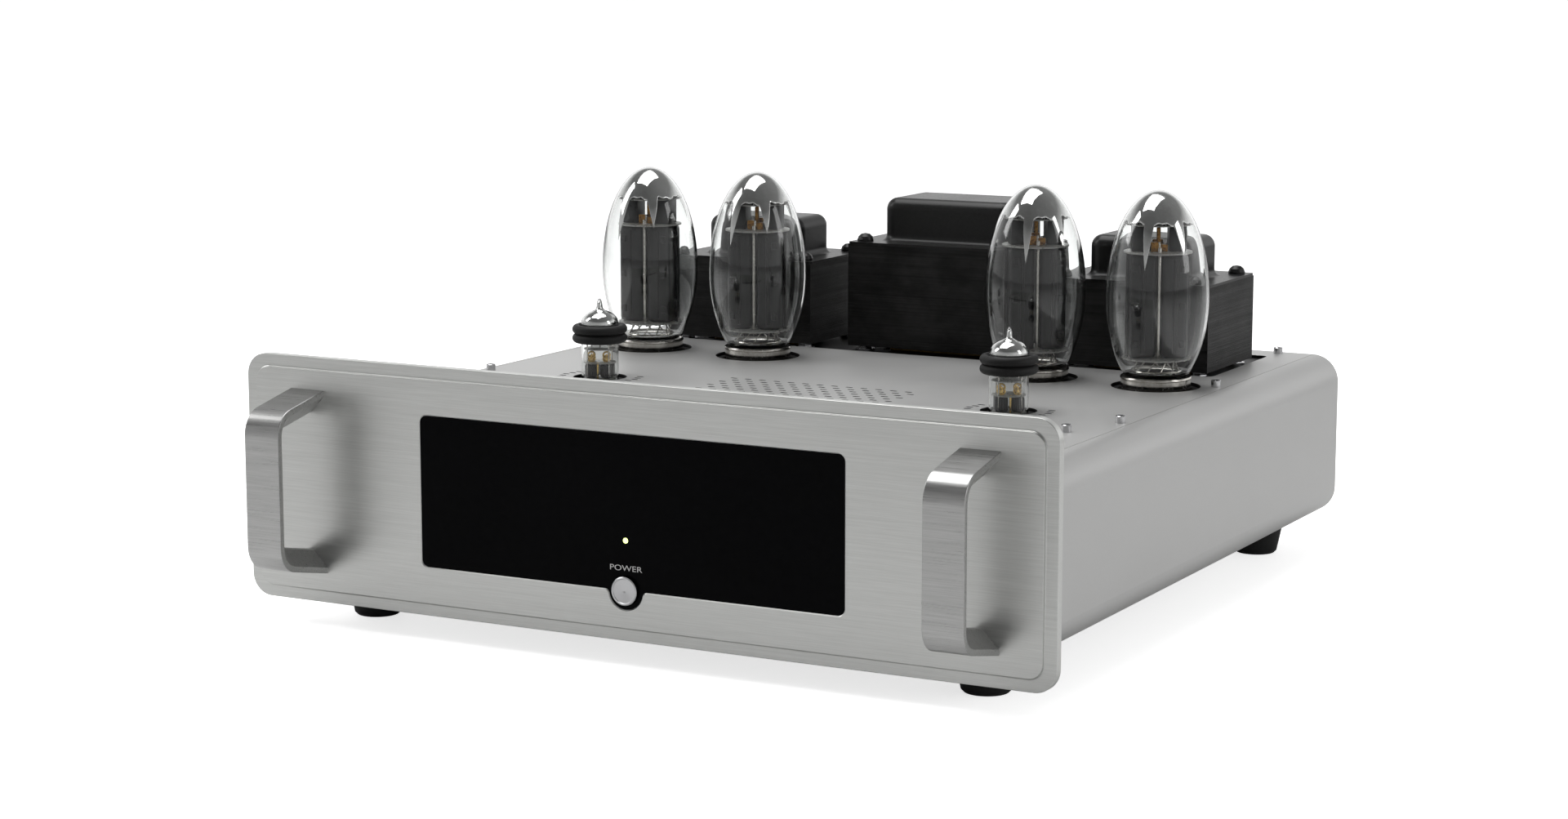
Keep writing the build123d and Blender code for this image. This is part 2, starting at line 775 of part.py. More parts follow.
# ---- driver tubes ----------------------------------------------------------------------------------
def driver_outline(shrink, low):
    """Straight wall, domed shoulder and sealed tip."""
    radius = driver_diameter / 2 - shrink
    dome = driver_shoulder - 8.0
    tip = driver_top - shrink
    wall = Line((radius, low), (radius, dome))
    shoulder = EllipticalCenterArc((0, dome), radius, 8.0 - shrink, 0, arc_size=68)
    top = shoulder @ 1
    neck = 1.6 - shrink * 0.6
    nipple = Spline(
        top,
        (neck + 0.2, driver_shoulder + 1.8 - shrink * 0.5),
        (neck, driver_shoulder + 4.2 - shrink),
        (0, tip),
        tangents=[shoulder % 1, (-1, 0)],
    )
    foot = Polyline((0, tip), (0, low), (radius, low))
    face = make_face(Wire([*wall.edges(), *shoulder.edges(), *nipple.edges(), *foot.edges()]))
    return revolve(Plane.XZ * face, Axis.Z)


def noval_places():
    for step in range(9):
        turn = radians(54 + step * 36)
        yield noval_circle / 2 * cos(turn), noval_circle / 2 * sin(turn)


def make_driver_glass(x, y):
    low = inner_plate_low - deck + 0.2
    glass = driver_outline(0, low) - driver_outline(driver_wall, low + 2.5)
    for px, py in noval_places():
        glass = glass + upright(px, py, low - noval_pin_length, low + 1, noval_pin)
    return Pos(x, y, deck) * glass


def make_driver_electrodes(x, y):
    low = inner_plate_low - deck + 0.2 + 2.5
    discs = (low + 3.0, low + 21.0)
    parts = upright(0, 0, discs[0], discs[0] + 0.7, 18.6) + upright(0, 0, discs[1], discs[1] + 0.7, 18.6)
    for px in (-4.6, 4.6):
        anode = RectangleRounded(8.0, 11.0, 2.5) - RectangleRounded(6.8, 9.8, 2.0)
        parts = parts + Pos(px, 0, discs[0]) * extrude(anode, discs[1] - discs[0])
        parts = parts + upright(px, 0, low, discs[1] + 3, 1.2)
    getter = upright(0, 0, discs[1], discs[1] + 6, 0.8) + upright(0, 0, discs[1] + 5, discs[1] + 6.5, 6.0)
    return Pos(x, y, deck) * (parts + getter)


def make_damping_rings(x, y):
    """Two rubber rings stretched over the glass, one on the other."""
    inner = driver_diameter / 2
    rings = []
    for step in range(2):
        height = ring_low + step * ring_pitch
        profile = Pos(inner + ring_section / 2 - ring_squeeze, height) * Circle(ring_section / 2)
        room = Pos(inner + ring_section, height) * Rectangle(2 * ring_section, ring_pitch)
        rings.append(revolve(Plane.XZ * (profile & room), Axis.Z))
    return Pos(x, y, deck) * group(rings)


def make_noval_sockets():
    sockets = []
    for x, y in driver_tubes.values():
        body = upright(0, 0, socket_low, inner_plate_low, noval_body)
        body = body + upright(0, 0, inner_plate_low - flange, inner_plate_low, noval_flange)
        for px, py in noval_places():
            body = body - upright(px, py, inner_plate_low - 9, inner_plate_low + 1, noval_pin + 2 * pin_gap)
        body = body - upright(0, 0, inner_plate_low - 6, inner_plate_low + 1, 3.0)
        sockets.append(Pos(x, y, 0) * body)
    return group(sockets)


# ---- transformers ----------------------------------------------------------------------------------
def leg_width(stack):
    return stack[0] / 3


def coil_plan(bell):
    """Outer plan size of a coil, just inside its cover."""
    shrink = 2 * (bell_sheet + bell_room)
    return bell[0] - shrink, bell[1] - shrink


def bolt_places(x, y, stack):
    for side in (-1, 1):
        for end in (-1, 1):
            yield x + side * (stack[0] / 2 - bolt_inset), y + end * (stack[1] / 2 - bolt_inset)


def make_core(x, y, stack, bell):
    """Laminated stack with a window on each side of its middle leg."""
    width, deep, high = stack
    leg = leg_width(stack)
    coil_x, coil_y = coil_plan(bell)
    window = coil_x / 2 + coil_gap - leg / 2
    plan = Rectangle(width, deep)
    for side in (-1, 1):
        plan = plan - Pos(side * (leg + window) / 2, 0) * Rectangle(window, coil_y + 2 * coil_gap)
    plan = plan - [Pos(bx, by) * Circle(bolt / 2 + 0.2) for bx, by in bolt_places(0, 0, stack)]
    return Pos(x, y, stack_low) * extrude(plan, high)


def make_bell(x, y, stack, bell):
    """Drawn cover over the coil: flat flange, blended foot, rounded box."""
    width, deep, high = bell
    top = stack_low + stack[2]
    sheet_flange = extrude(RectangleRounded(stack[0], stack[1], 2.0), bell_sheet)
    box = Pos(0, 0, high / 2) * Box(width, deep, high)
    box = fillet(box.edges().filter_by(Axis.Z), bell_fillet + 1.0)
    box = fillet(box.edges().group_by(Axis.Z)[-1], bell_fillet)
    shell = sheet_flange + box
    foot = shell.edges().filter_by_position(Axis.Z, bell_sheet - 0.01, bell_sheet + 0.01)
    foot = [edge for edge in foot if abs(edge.center().X) <= width / 2 + 0.1]
    foot = [edge for edge in foot if abs(edge.center().Y) <= deep / 2 + 0.1]
    shell = fillet(foot, 4.0)
    hollow = Pos(0, 0, (high - bell_sheet) / 2 - 0.5) * Box(
        width - 2 * bell_sheet, deep - 2 * bell_sheet, high - bell_sheet + 1.0
    )
    hollow = fillet(hollow.edges().filter_by(Axis.Z), bell_fillet - 0.5)
    hollow = fillet(hollow.edges().group_by(Axis.Z)[-1], bell_fillet - bell_sheet)
    shell = shell - hollow
    for bx, by in bolt_places(0, 0, stack):
        shell = shell - upright(bx, by, -1, bell_sheet + 1, bolt + 0.4)
    return Pos(x, y, top) * shell


def make_windings():
    """One coil per transformer, wound round the middle leg and standing out above and below."""
    coils = []
    for x, y, stack, bell in transformers.values():
        width, deep = coil_plan(bell)
        stand = bell[2] - bell_sheet - coil_headroom
        low = stack_low - stand
        high = stack_low + stack[2] + stand
        coil = block(-width / 2, width / 2, -deep / 2, deep / 2, low, high)
        coil = fillet(coil.edges().filter_by(Axis.Z), coil_corner)
        ends = coil.edges().group_by(Axis.Z)
        coil = fillet([*ends[0], *ends[-1]], coil_corner - 2.0)
        leg = leg_width(stack)
        coil = coil - block(-leg / 2, leg / 2, -deep, deep, stack_low, stack_low + stack[2])
        coils.append(Pos(x, y, 0) * coil)
    return group(coils)


def make_bolts():
    """Domed bolts through flange, stack and inner plate."""
    bolts = []
    for x, y, stack, _ in transformers.values():
        seat = stack_low + stack[2] + bell_sheet
        dome = turned(
            [
                (0, 0),
                (dome_diameter / 2, 0),
                (dome_diameter / 2, 0.24 * dome_height),
                (0.43 * dome_diameter, 0.6 * dome_height),
                (0.26 * dome_diameter, 0.9 * dome_height),
                (0, dome_height),
            ]
        )
        shank = upright(0, 0, inner_plate_low - 6 - seat, 0, bolt)
        for bx, by in bolt_places(x, y, stack):
            bolts.append(Pos(bx, by, seat) * (dome + shank))
    return group(bolts)


def make_nuts():
    """Nut and washer that hold each corner of a stack clear of the inner plate."""
    nuts = []
    for x, y, stack, _ in transformers.values():
        nut = extrude(RegularPolygon(nut_across / 2, 6, major_radius=False), nut_height)
        nut = Pos(0, 0, stack_lift - nut_height) * nut
        nut = nut + upright(0, 0, 0, stack_lift - nut_height, washer_diameter)
        nut = nut - upright(0, 0, -1, stack_lift + 1, bolt + 0.2)
        for bx, by in bolt_places(x, y, stack):
            nuts.append(Pos(bx, by, inner_plate_top) * nut)
    return group(nuts)


# ---- rear panel fittings ---------------------------------------------------------------------------

def make_inlet():
    """Three-blade mains inlet."""
    half_x, half_z = inlet_body[0] / 2, inlet_body[1] / 2
    body = block(-half_x, half_x, rear_y - 22.0, rear_y, inlet_high - half_z, inlet_high + half_z)
    half_x, half_z = inlet_flange[0] / 2, inlet_flange[1] / 2
    face = block(-half_x, half_x, rear_y, rear_y + 2.5, inlet_high - half_z, inlet_high + half_z)
    face = fillet(face.edges().filter_by(Axis.Y), 2.0)
    half_x, half_z = inlet_mouth[0] / 2, inlet_mouth[1] / 2
    mouth_front = rear_y + 2.5 - inlet_mouth_depth
    mouth = block(-half_x, half_x, mouth_front, rear_y + 3, inlet_high - half_z, inlet_high + half_z)
    mouth = chamfer(mouth.edges().filter_by(Axis.Y).group_by(Axis.Z)[-1], 5.0)
    inlet = body + face - mouth
    for x, z in ((-7.0, -3.6), (7.0, -3.6), (0.0, 3.6)):
        blade = block(x - 1, x + 1, mouth_front - 10, rear_y - 0.5, inlet_high + z - 2, inlet_high + z + 2)
        inlet = inlet + blade
        inlet = inlet + tag(x, inlet_high + z, rear_y - 31, rear_y - 21)
    return inlet


def make_fuse_holder():
    collar = lying(fuse_middle, inlet_high, rear_y, rear_y + 2.0, 15.0)
    body = lying(fuse_middle, inlet_high, rear_y - 30.0, rear_y, fuse_body)
    nut_face = facing(panel_front, inlet_high, fuse_middle) * RegularPolygon(8.5, 6, major_radius=False)
    nut = extrude(nut_face, 3.0)
    bore = lying(fuse_middle, inlet_high, rear_y - 27.0, rear_y + 3, fuse_bore)
    mouth = lying(fuse_middle, inlet_high, rear_y - 5.0, rear_y + 3, 9.4)
    lug = tag(fuse_middle, inlet_high, rear_y - 38, rear_y - 29.5)
    return collar + body + nut + lug - bore - mouth


def make_fuse_cap():
    knob = lying(fuse_middle, inlet_high, rear_y + 2.2, rear_y + 2.2 + fuse_cap_length, fuse_cap_diameter)
    knob = fillet(knob.edges().group_by(Axis.Y)[-1], 1.0)
    neck = lying(fuse_middle, inlet_high, rear_y - 4.0, rear_y + 2.5, 9.0)
    slot_front = rear_y + fuse_cap_length + 1.0
    slot = block(fuse_middle - 5, fuse_middle + 5, slot_front, rear_y + 20, inlet_high - 0.6, inlet_high + 0.6)
    clip = lying(fuse_middle, inlet_high, rear_y - 4.5, rear_y + 1.5, fuse_diameter + 0.2)
    return knob + neck - slot - clip


def make_fuse_link():
    back = rear_y + 1.5
    return lying(fuse_middle, inlet_high, back - fuse_length, back, fuse_diameter)


def make_jacks():
    """Phono sockets: nut, flange, barrel and centre bore."""
    jacks = []
    for x in jack_middles:
        jack = lying(x, inlet_high, rear_y, rear_y + 2.5, 12.0)
        jack = jack + lying(x, inlet_high, rear_y + 2.5, rear_y + 11.5, jack_barrel)
        jack = jack + lying(x, inlet_high, panel_front - 8, rear_y, jack_body)
        jack = jack + lying(x, inlet_high, panel_front - 2.5, panel_front, 11.0)
        jack = jack - lying(x, inlet_high, rear_y + 2.0, rear_y + 12, 3.2)
        jacks.append(jack + lying(x, inlet_high, panel_front - 13, panel_front - 7, 1.6))
    return group(jacks)


def make_posts():
    """Speaker posts: stud, outer flange, inner nut, and a bore for a banana plug."""
    posts = []
    for x in post_middles:
        stud = lying(x, inlet_high, panel_front - 14, rear_y + post_reach, post_diameter)
        stud = stud + lying(x, inlet_high, rear_y + bush_lip, rear_y + bush_lip + 2.5, post_flange)
        nut = extrude(
            facing(panel_front - bush_lip, inlet_high, x) * RegularPolygon(5.0, 6, major_radius=False), 3.0
        )
        post_end = rear_y + post_reach
        bore = lying(x, inlet_high, post_end - banana_depth, post_end + 1, banana_bore)
        posts.append(stud + nut - bore)
    return group(posts)


def make_bushes():
    """Insulating bushes between the posts and the rear panel."""
    bushes = []
    for x in post_middles:
        bush = lying(x, inlet_high, panel_front - bush_lip, panel_front, 15.0)
        bush = bush + lying(x, inlet_high, panel_front, rear_y, bush_body)
        bush = bush + lying(x, inlet_high, rear_y, rear_y + bush_lip, 15.0)
        bushes.append(bush - lying(x, inlet_high, panel_front - 3, rear_y + 3, post_diameter + 0.1))
    return group(bushes)


def make_knob(x):
    """Fluted clamping knob on a post."""
    front = rear_y + bush_lip + 2.5 + 0.2
    knob = lying(x, inlet_high, front, front + knob_length, knob_diameter)
    knob = chamfer(knob.edges().group_by(Axis.Y)[-1], 1.0)
    for step in range(12):
        turn = step * pi / 6
        flute_x = x + (knob_diameter / 2 + 0.5) * cos(turn)
        flute_z = inlet_high + (knob_diameter / 2 + 0.5) * sin(turn)
        knob = knob - lying(flute_x, flute_z, front + 3.0, front + knob_length + 1, 2.0)
    return knob - lying(x, inlet_high, front - 1, front + knob_length + 1, post_diameter + 2 * post_gap)


# ---- boards ----------------------------------------------------------------------------------------
def standoff_places():
    return [(side * 140.0, rim_y + back) for side in (-1, 1) for back in (60.0, 150.0)]


def make_main_board():
    """Signal board, held by the sockets that are soldered to it."""
    front = rim_y + driver_back - 22
    back = rim_y + power_back + 26
    plan = Pos(0, (front + back) / 2) * Rectangle(2 * (power_outer + 10), back - front)
    return Pos(0, 0, socket_low - board) * extrude(plan, board)


def make_supply_board():
    low = case_low + sheet + board_gap
    return block(-150, 150, rim_y + 50, rim_y + 160, low, low + board)


def make_capacitors():
    low = case_low + sheet + board_gap + board
    cans = []
    for x in (-105.0, -45.0, 45.0, 105.0):
        for back in (78.0, 128.0):
            can = upright(x, rim_y + back, low, low + can_height, can_diameter)
            cans.append(fillet(can.edges().group_by(Axis.Z)[-1], 1.5))
    return group(cans)


def main():
    os.makedirs("parts", exist_ok=True)
    save("faceplate", make_faceplate())
    save("window_panel", make_window())
    for name, side in (("left", -1), ("right", 1)):
        save("handle_" + name, make_handle(side))
        save("side_panel_" + name, make_side_panel(side))
    save("handle_screws", make_handle_screws())
    save("top_cover", make_top_cover())
    save("chassis_plate", make_chassis_plate())
    save("bottom_cover", make_bottom_cover())
    save("front_subpanel", make_front_subpanel())
    save("rear_panel", make_rear_panel())
    save("case_screws", make_case_screws())
    save("feet", make_feet())
    save("power_button", make_power_button())
    save("power_switch", make_power_switch())
    save("power_lamp", make_lamp())
    for number, (x, y) in enumerate(power_tubes, 1):
        name = f"power_tube_{number}"
        save(name + "_glass", make_power_glass(x, y))
        save(name + "_base", make_power_base(x, y))
        save(name + "_electrodes", make_power_electrodes(x, y))
    for side, (x, y) in driver_tubes.items():
        name = f"driver_tube_{side}"
        save(name + "_glass", make_driver_glass(x, y))
        save(name + "_electrodes", make_driver_electrodes(x, y))
        save(name + "_damping_rings", make_damping_rings(x, y))
    save("octal_sockets", make_octal_sockets())
    save("noval_sockets", make_noval_sockets())
    for kind, (x, y, stack, bell) in transformers.items():
        save(kind + "_transformer_core", make_core(x, y, stack, bell))
        save(kind + "_transformer_cover", make_bell(x, y, stack, bell))
    save("transformer_windings", make_windings())
    save("transformer_bolts", make_bolts())
    save("transformer_nuts", make_nuts())
    save("mains_inlet", make_inlet())
    save("fuse_holder", make_fuse_holder())
    save("fuse_cap", make_fuse_cap())
    save("fuse_link", make_fuse_link())
    save("input_jacks", make_jacks())
    save("speaker_posts", make_posts())
    save("post_bushes", make_bushes())
    for number, x in enumerate(post_middles, 1):
        save(f"speaker_knob_{number}", make_knob(x))
    save("main_board", make_main_board())
    save("supply_board", make_supply_board())
    save("filter_capacitors", make_capacitors())


main()
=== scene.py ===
from math import asin, cos, pi, radians, sin

import bmesh
import bpy
from mathutils import Matrix, Vector


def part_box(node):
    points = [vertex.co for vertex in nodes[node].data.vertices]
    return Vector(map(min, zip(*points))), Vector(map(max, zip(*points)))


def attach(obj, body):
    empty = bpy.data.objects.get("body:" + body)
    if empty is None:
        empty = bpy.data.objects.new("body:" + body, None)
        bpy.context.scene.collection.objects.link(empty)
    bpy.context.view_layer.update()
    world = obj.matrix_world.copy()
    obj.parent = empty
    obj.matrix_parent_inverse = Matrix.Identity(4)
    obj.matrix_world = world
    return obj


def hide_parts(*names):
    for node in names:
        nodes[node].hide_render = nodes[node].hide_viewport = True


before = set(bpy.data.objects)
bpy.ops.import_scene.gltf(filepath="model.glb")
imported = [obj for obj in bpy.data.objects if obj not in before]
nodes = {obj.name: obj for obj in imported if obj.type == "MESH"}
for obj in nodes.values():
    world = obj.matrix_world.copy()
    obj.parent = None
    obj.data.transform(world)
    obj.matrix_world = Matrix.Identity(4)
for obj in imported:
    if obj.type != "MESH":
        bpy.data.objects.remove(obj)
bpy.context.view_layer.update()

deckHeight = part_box("top_cover")[1].z
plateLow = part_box("faceplate")[0].z
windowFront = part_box("window_panel")[0].y
mm = 0.001
print("frame loaded")


# selecting and shaping: lengths are in millimetres

def clearSelection():
    if bpy.context.mode != "OBJECT":
        bpy.ops.object.mode_set(mode="OBJECT")
    bpy.ops.object.select_all(action="DESELECT")


def settle(piece, name, smooth=40):
    # place goes into the mesh, so that the object itself stays at the origin
    clearSelection()
    bpy.context.view_layer.objects.active = piece
    piece.select_set(True)
    piece.name = name
    bpy.ops.object.transform_apply(location=True, rotation=True, scale=True)
    if smooth:
        bpy.ops.object.shade_smooth_by_angle(angle=radians(smooth))
    return piece


def addRound(radius, low, high, at=(0, 0), sides=24, topRadius=None):
    clearSelection()
    bpy.ops.mesh.primitive_cone_add(
        vertices=sides,
        radius1=radius * mm,
        radius2=(radius if topRadius is None else topRadius) * mm,
        depth=(high - low) * mm,
        location=Vector((at[0], at[1], (low + high) / 2)) * mm,
    )
    return bpy.context.object


def addBlock(size, middle):
    clearSelection()
    bpy.ops.mesh.primitive_cube_add(size=1, location=Vector(middle) * mm)
    piece = bpy.context.object
    piece.scale = Vector(size) * mm
    bpy.ops.object.transform_apply(location=True, rotation=True, scale=True)
    return piece


def pickFaces(piece, wanted):
    # leaves the piece in edit mode with only the wanted faces selected
    bpy.context.view_layer.objects.active = piece
    bpy.ops.object.mode_set(mode="EDIT")
    bpy.ops.mesh.select_mode(type="FACE")
    bpy.ops.mesh.select_all(action="DESELECT")
    shape = bmesh.from_edit_mesh(piece.data)
    shape.faces.ensure_lookup_table()
    for face in shape.faces:
        face.select_set(wanted(face))
    bmesh.update_edit_mesh(piece.data)


def isLevel(face):
    return abs(face.normal.z) > 0.9


def softenEdges(piece, width, segments=2):
    clearSelection()
    bpy.context.view_layer.objects.active = piece
    piece.select_set(True)
    soft = piece.modifiers.new("soft", "BEVEL")
    soft.width = width * mm
    soft.segments = segments
    soft.limit_method = "ANGLE"
    soft.angle_limit = radians(35)
    bpy.ops.object.modifier_apply(modifier=soft.name)
    return piece


def addRod(radius, low, high, at, sides, soft):
    return softenEdges(addRound(radius, low, high, at, sides), soft)


def addBrick(size, middle, soft, segments=2):
    return softenEdges(addBlock(size, middle), soft, segments)


def thicken(piece, sheet):
    # the surface gains a thickness behind its face
    bpy.context.view_layer.objects.active = piece
    thick = piece.modifiers.new("thick", "SOLIDIFY")
    thick.thickness = sheet * mm
    thick.offset = -1
    bpy.ops.object.modifier_apply(modifier=thick.name)
    return piece


def onCircle(radius, turn, height=0.0):
    return Vector((radius * cos(turn), radius * sin(turn), height))


def lathe(profile, steps=48, inside=False):
    # one point is pulled along the profile, and the line is spun about Z
    clearSelection()
    bpy.ops.mesh.primitive_plane_add(size=mm, location=(0, 0, 0))
    piece = bpy.context.object
    bpy.ops.object.mode_set(mode="EDIT")
    bpy.ops.mesh.select_mode(type="VERT")
    bpy.ops.mesh.select_all(action="SELECT")
    bpy.ops.mesh.merge(type="CENTER")
    bpy.ops.transform.translate(value=(profile[0][0] * mm, 0, profile[0][1] * mm))
    for last, point in zip(profile, profile[1:]):
        pull = ((point[0] - last[0]) * mm, 0, (point[1] - last[1]) * mm)
        bpy.ops.mesh.extrude_region_move(TRANSFORM_OT_translate={"value": pull})
    bpy.ops.mesh.select_all(action="SELECT")
    bpy.ops.mesh.spin(steps=steps, angle=2 * pi, center=(0, 0, 0), axis=(0, 0, 1))
    bpy.ops.mesh.select_all(action="SELECT")
    bpy.ops.mesh.remove_doubles(threshold=0.002 * mm)
    bpy.ops.mesh.normals_make_consistent(inside=inside)
    bpy.ops.object.mode_set(mode="OBJECT")
    return piece


def joinPieces(pieces):
    clearSelection()
    for piece in pieces:
        piece.select_set(True)
    bpy.context.view_layer.objects.active = pieces[0]
    bpy.ops.object.join()
    return bpy.context.object


def copyPiece(piece, name, shift, turn=0.0):
    copy = piece.copy()
    copy.data = piece.data.copy()
    copy.name = name
    copy.data.transform(Matrix.Translation(shift) @ Matrix.Rotation(turn, 4, "Z"))
    bpy.context.scene.collection.objects.link(copy)
    return copy


def dropPieces(pieces):
    for piece in pieces:
        bpy.data.objects.remove(piece)


def tubeFoot(body):
    # where a tube's axis meets the deck
    low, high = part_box(body + "_glass")
    return Vector(((low.x + high.x) / 2, (low.y + high.y) / 2, deckHeight))


# materials

def openMaterial(name):
    material = bpy.data.materials.new(name)
    material.use_nodes = True
    return material, material.node_tree, material.node_tree.nodes["Principled BSDF"]


def grain(tree, stretch, detail=2.0, rough=0.55, shift=(0, 0, 0)):
    # noise in the piece's own coordinates, stretched along its axes
    place = tree.nodes.new("ShaderNodeTexCoord")
    mapping = tree.nodes.new("ShaderNodeMapping")
    mapping.inputs["Location"].default_value = shift
    mapping.inputs["Scale"].default_value = stretch
    noise = tree.nodes.new("ShaderNodeTexNoise")
    noise.inputs["Scale"].default_value = 1.0
    noise.inputs["Detail"].default_value = detail
    noise.inputs["Roughness"].default_value = rough
    tree.links.new(place.outputs["Object"], mapping.inputs["Vector"])
    tree.links.new(mapping.outputs["Vector"], noise.inputs["Vector"])
    return noise.outputs[0]


def spread(tree, value, fromLow, fromHigh, low, high):
    reach = tree.nodes.new("ShaderNodeMapRange")
    for socket, number in zip(("From Min", "From Max", "To Min", "To Max"), (fromLow, fromHigh, low, high)):
        reach.inputs[socket].default_value = number
    tree.links.new(value, reach.inputs["Value"])
    return reach.outputs["Result"]


def combine(tree, operation, first, second):
    maths = tree.nodes.new("ShaderNodeMath")
    maths.operation = operation
    for socket, value in zip(maths.inputs, (first, second)):
        if isinstance(value, (int, float)):
            socket.default_value = value
        else:
            tree.links.new(value, socket)
    return maths.outputs[0]


def tint(tree, factor, first, second):
    mix = tree.nodes.new("ShaderNodeMix")
    mix.data_type = "RGBA"
    tree.links.new(factor, mix.inputs[0])
    for socket, colour in ((mix.inputs[6], first), (mix.inputs[7], second)):
        if isinstance(colour, tuple):
            socket.default_value = (*colour, 1.0)
        else:
            tree.links.new(colour, socket)
    return mix.outputs[2]


def roughen(tree, shader, height, strength, distance):
    bump = tree.nodes.new("ShaderNodeBump")
    bump.inputs["Strength"].default_value = strength
    bump.inputs["Distance"].default_value = distance
    tree.links.new(height, bump.inputs["Height"])
    tree.links.new(bump.outputs["Normal"], shader.inputs["Normal"])


def makeFinish(name, look):
    # a fine and a broad grain drive colour, gloss and relief
    material, tree, shader = openMaterial(name)
    fine = grain(tree, look["fine"], 3.0)
    broad = grain(tree, look["broad"], 2.0, 0.5, (0.37, 0.11, 0.73))
    both = combine(tree, "ADD", combine(tree, "MULTIPLY", fine, 0.6), combine(tree, "MULTIPLY", broad, 0.4))
    shade = spread(tree, both, 0.3, 0.7, 0.0, 1.0)
    tree.links.new(tint(tree, shade, look["dark"], look["light"]), shader.inputs["Base Color"])
    gloss = spread(tree, both, 0.3, 0.7, *look["rough"])
    tree.links.new(gloss, shader.inputs["Roughness"])
    roughen(tree, shader, fine, look["relief"], look["depth"])
    shader.inputs["Metallic"].default_value = look["metal"]
    shader.inputs["IOR"].default_value = look.get("ior", 1.5)
    shader.inputs["Transmission Weight"].default_value = look.get("clear", 0.0)
    return material


# painted shade inside holes, slots and cut edges: how far below the face it starts and ends, and its dark colour
paintedSlotShade = {"from": 0.12, "to": 0.04, "colour": (0.006, 0.006, 0.006)}


def paintSlotShade(material, top):
    # painted shade: the walls of the holes and slots, and the cut edges of the sheet, are painted dark just below its
    # face, where shade falls; the depths are in millimetres
    tree = material.node_tree
    shader = tree.nodes["Principled BSDF"]
    face = shader.inputs["Base Color"].links[0].from_socket
    place = tree.nodes.new("ShaderNodeTexCoord")
    apart = tree.nodes.new("ShaderNodeSeparateXYZ")
    tree.links.new(place.outputs["Object"], apart.inputs[0])
    depth = spread(tree, apart.outputs["Z"], top - paintedSlotShade["from"] * mm, top - paintedSlotShade["to"] * mm, 1.0, 0.0)
    tree.links.new(tint(tree, depth, face, paintedSlotShade["colour"]), shader.inputs["Base Color"])


def wearOne(piece, material):
    piece.data.materials.clear()
    piece.data.materials.append(material)


def wear(names, material):
    for name in names:
        wearOne(nodes[name], material)


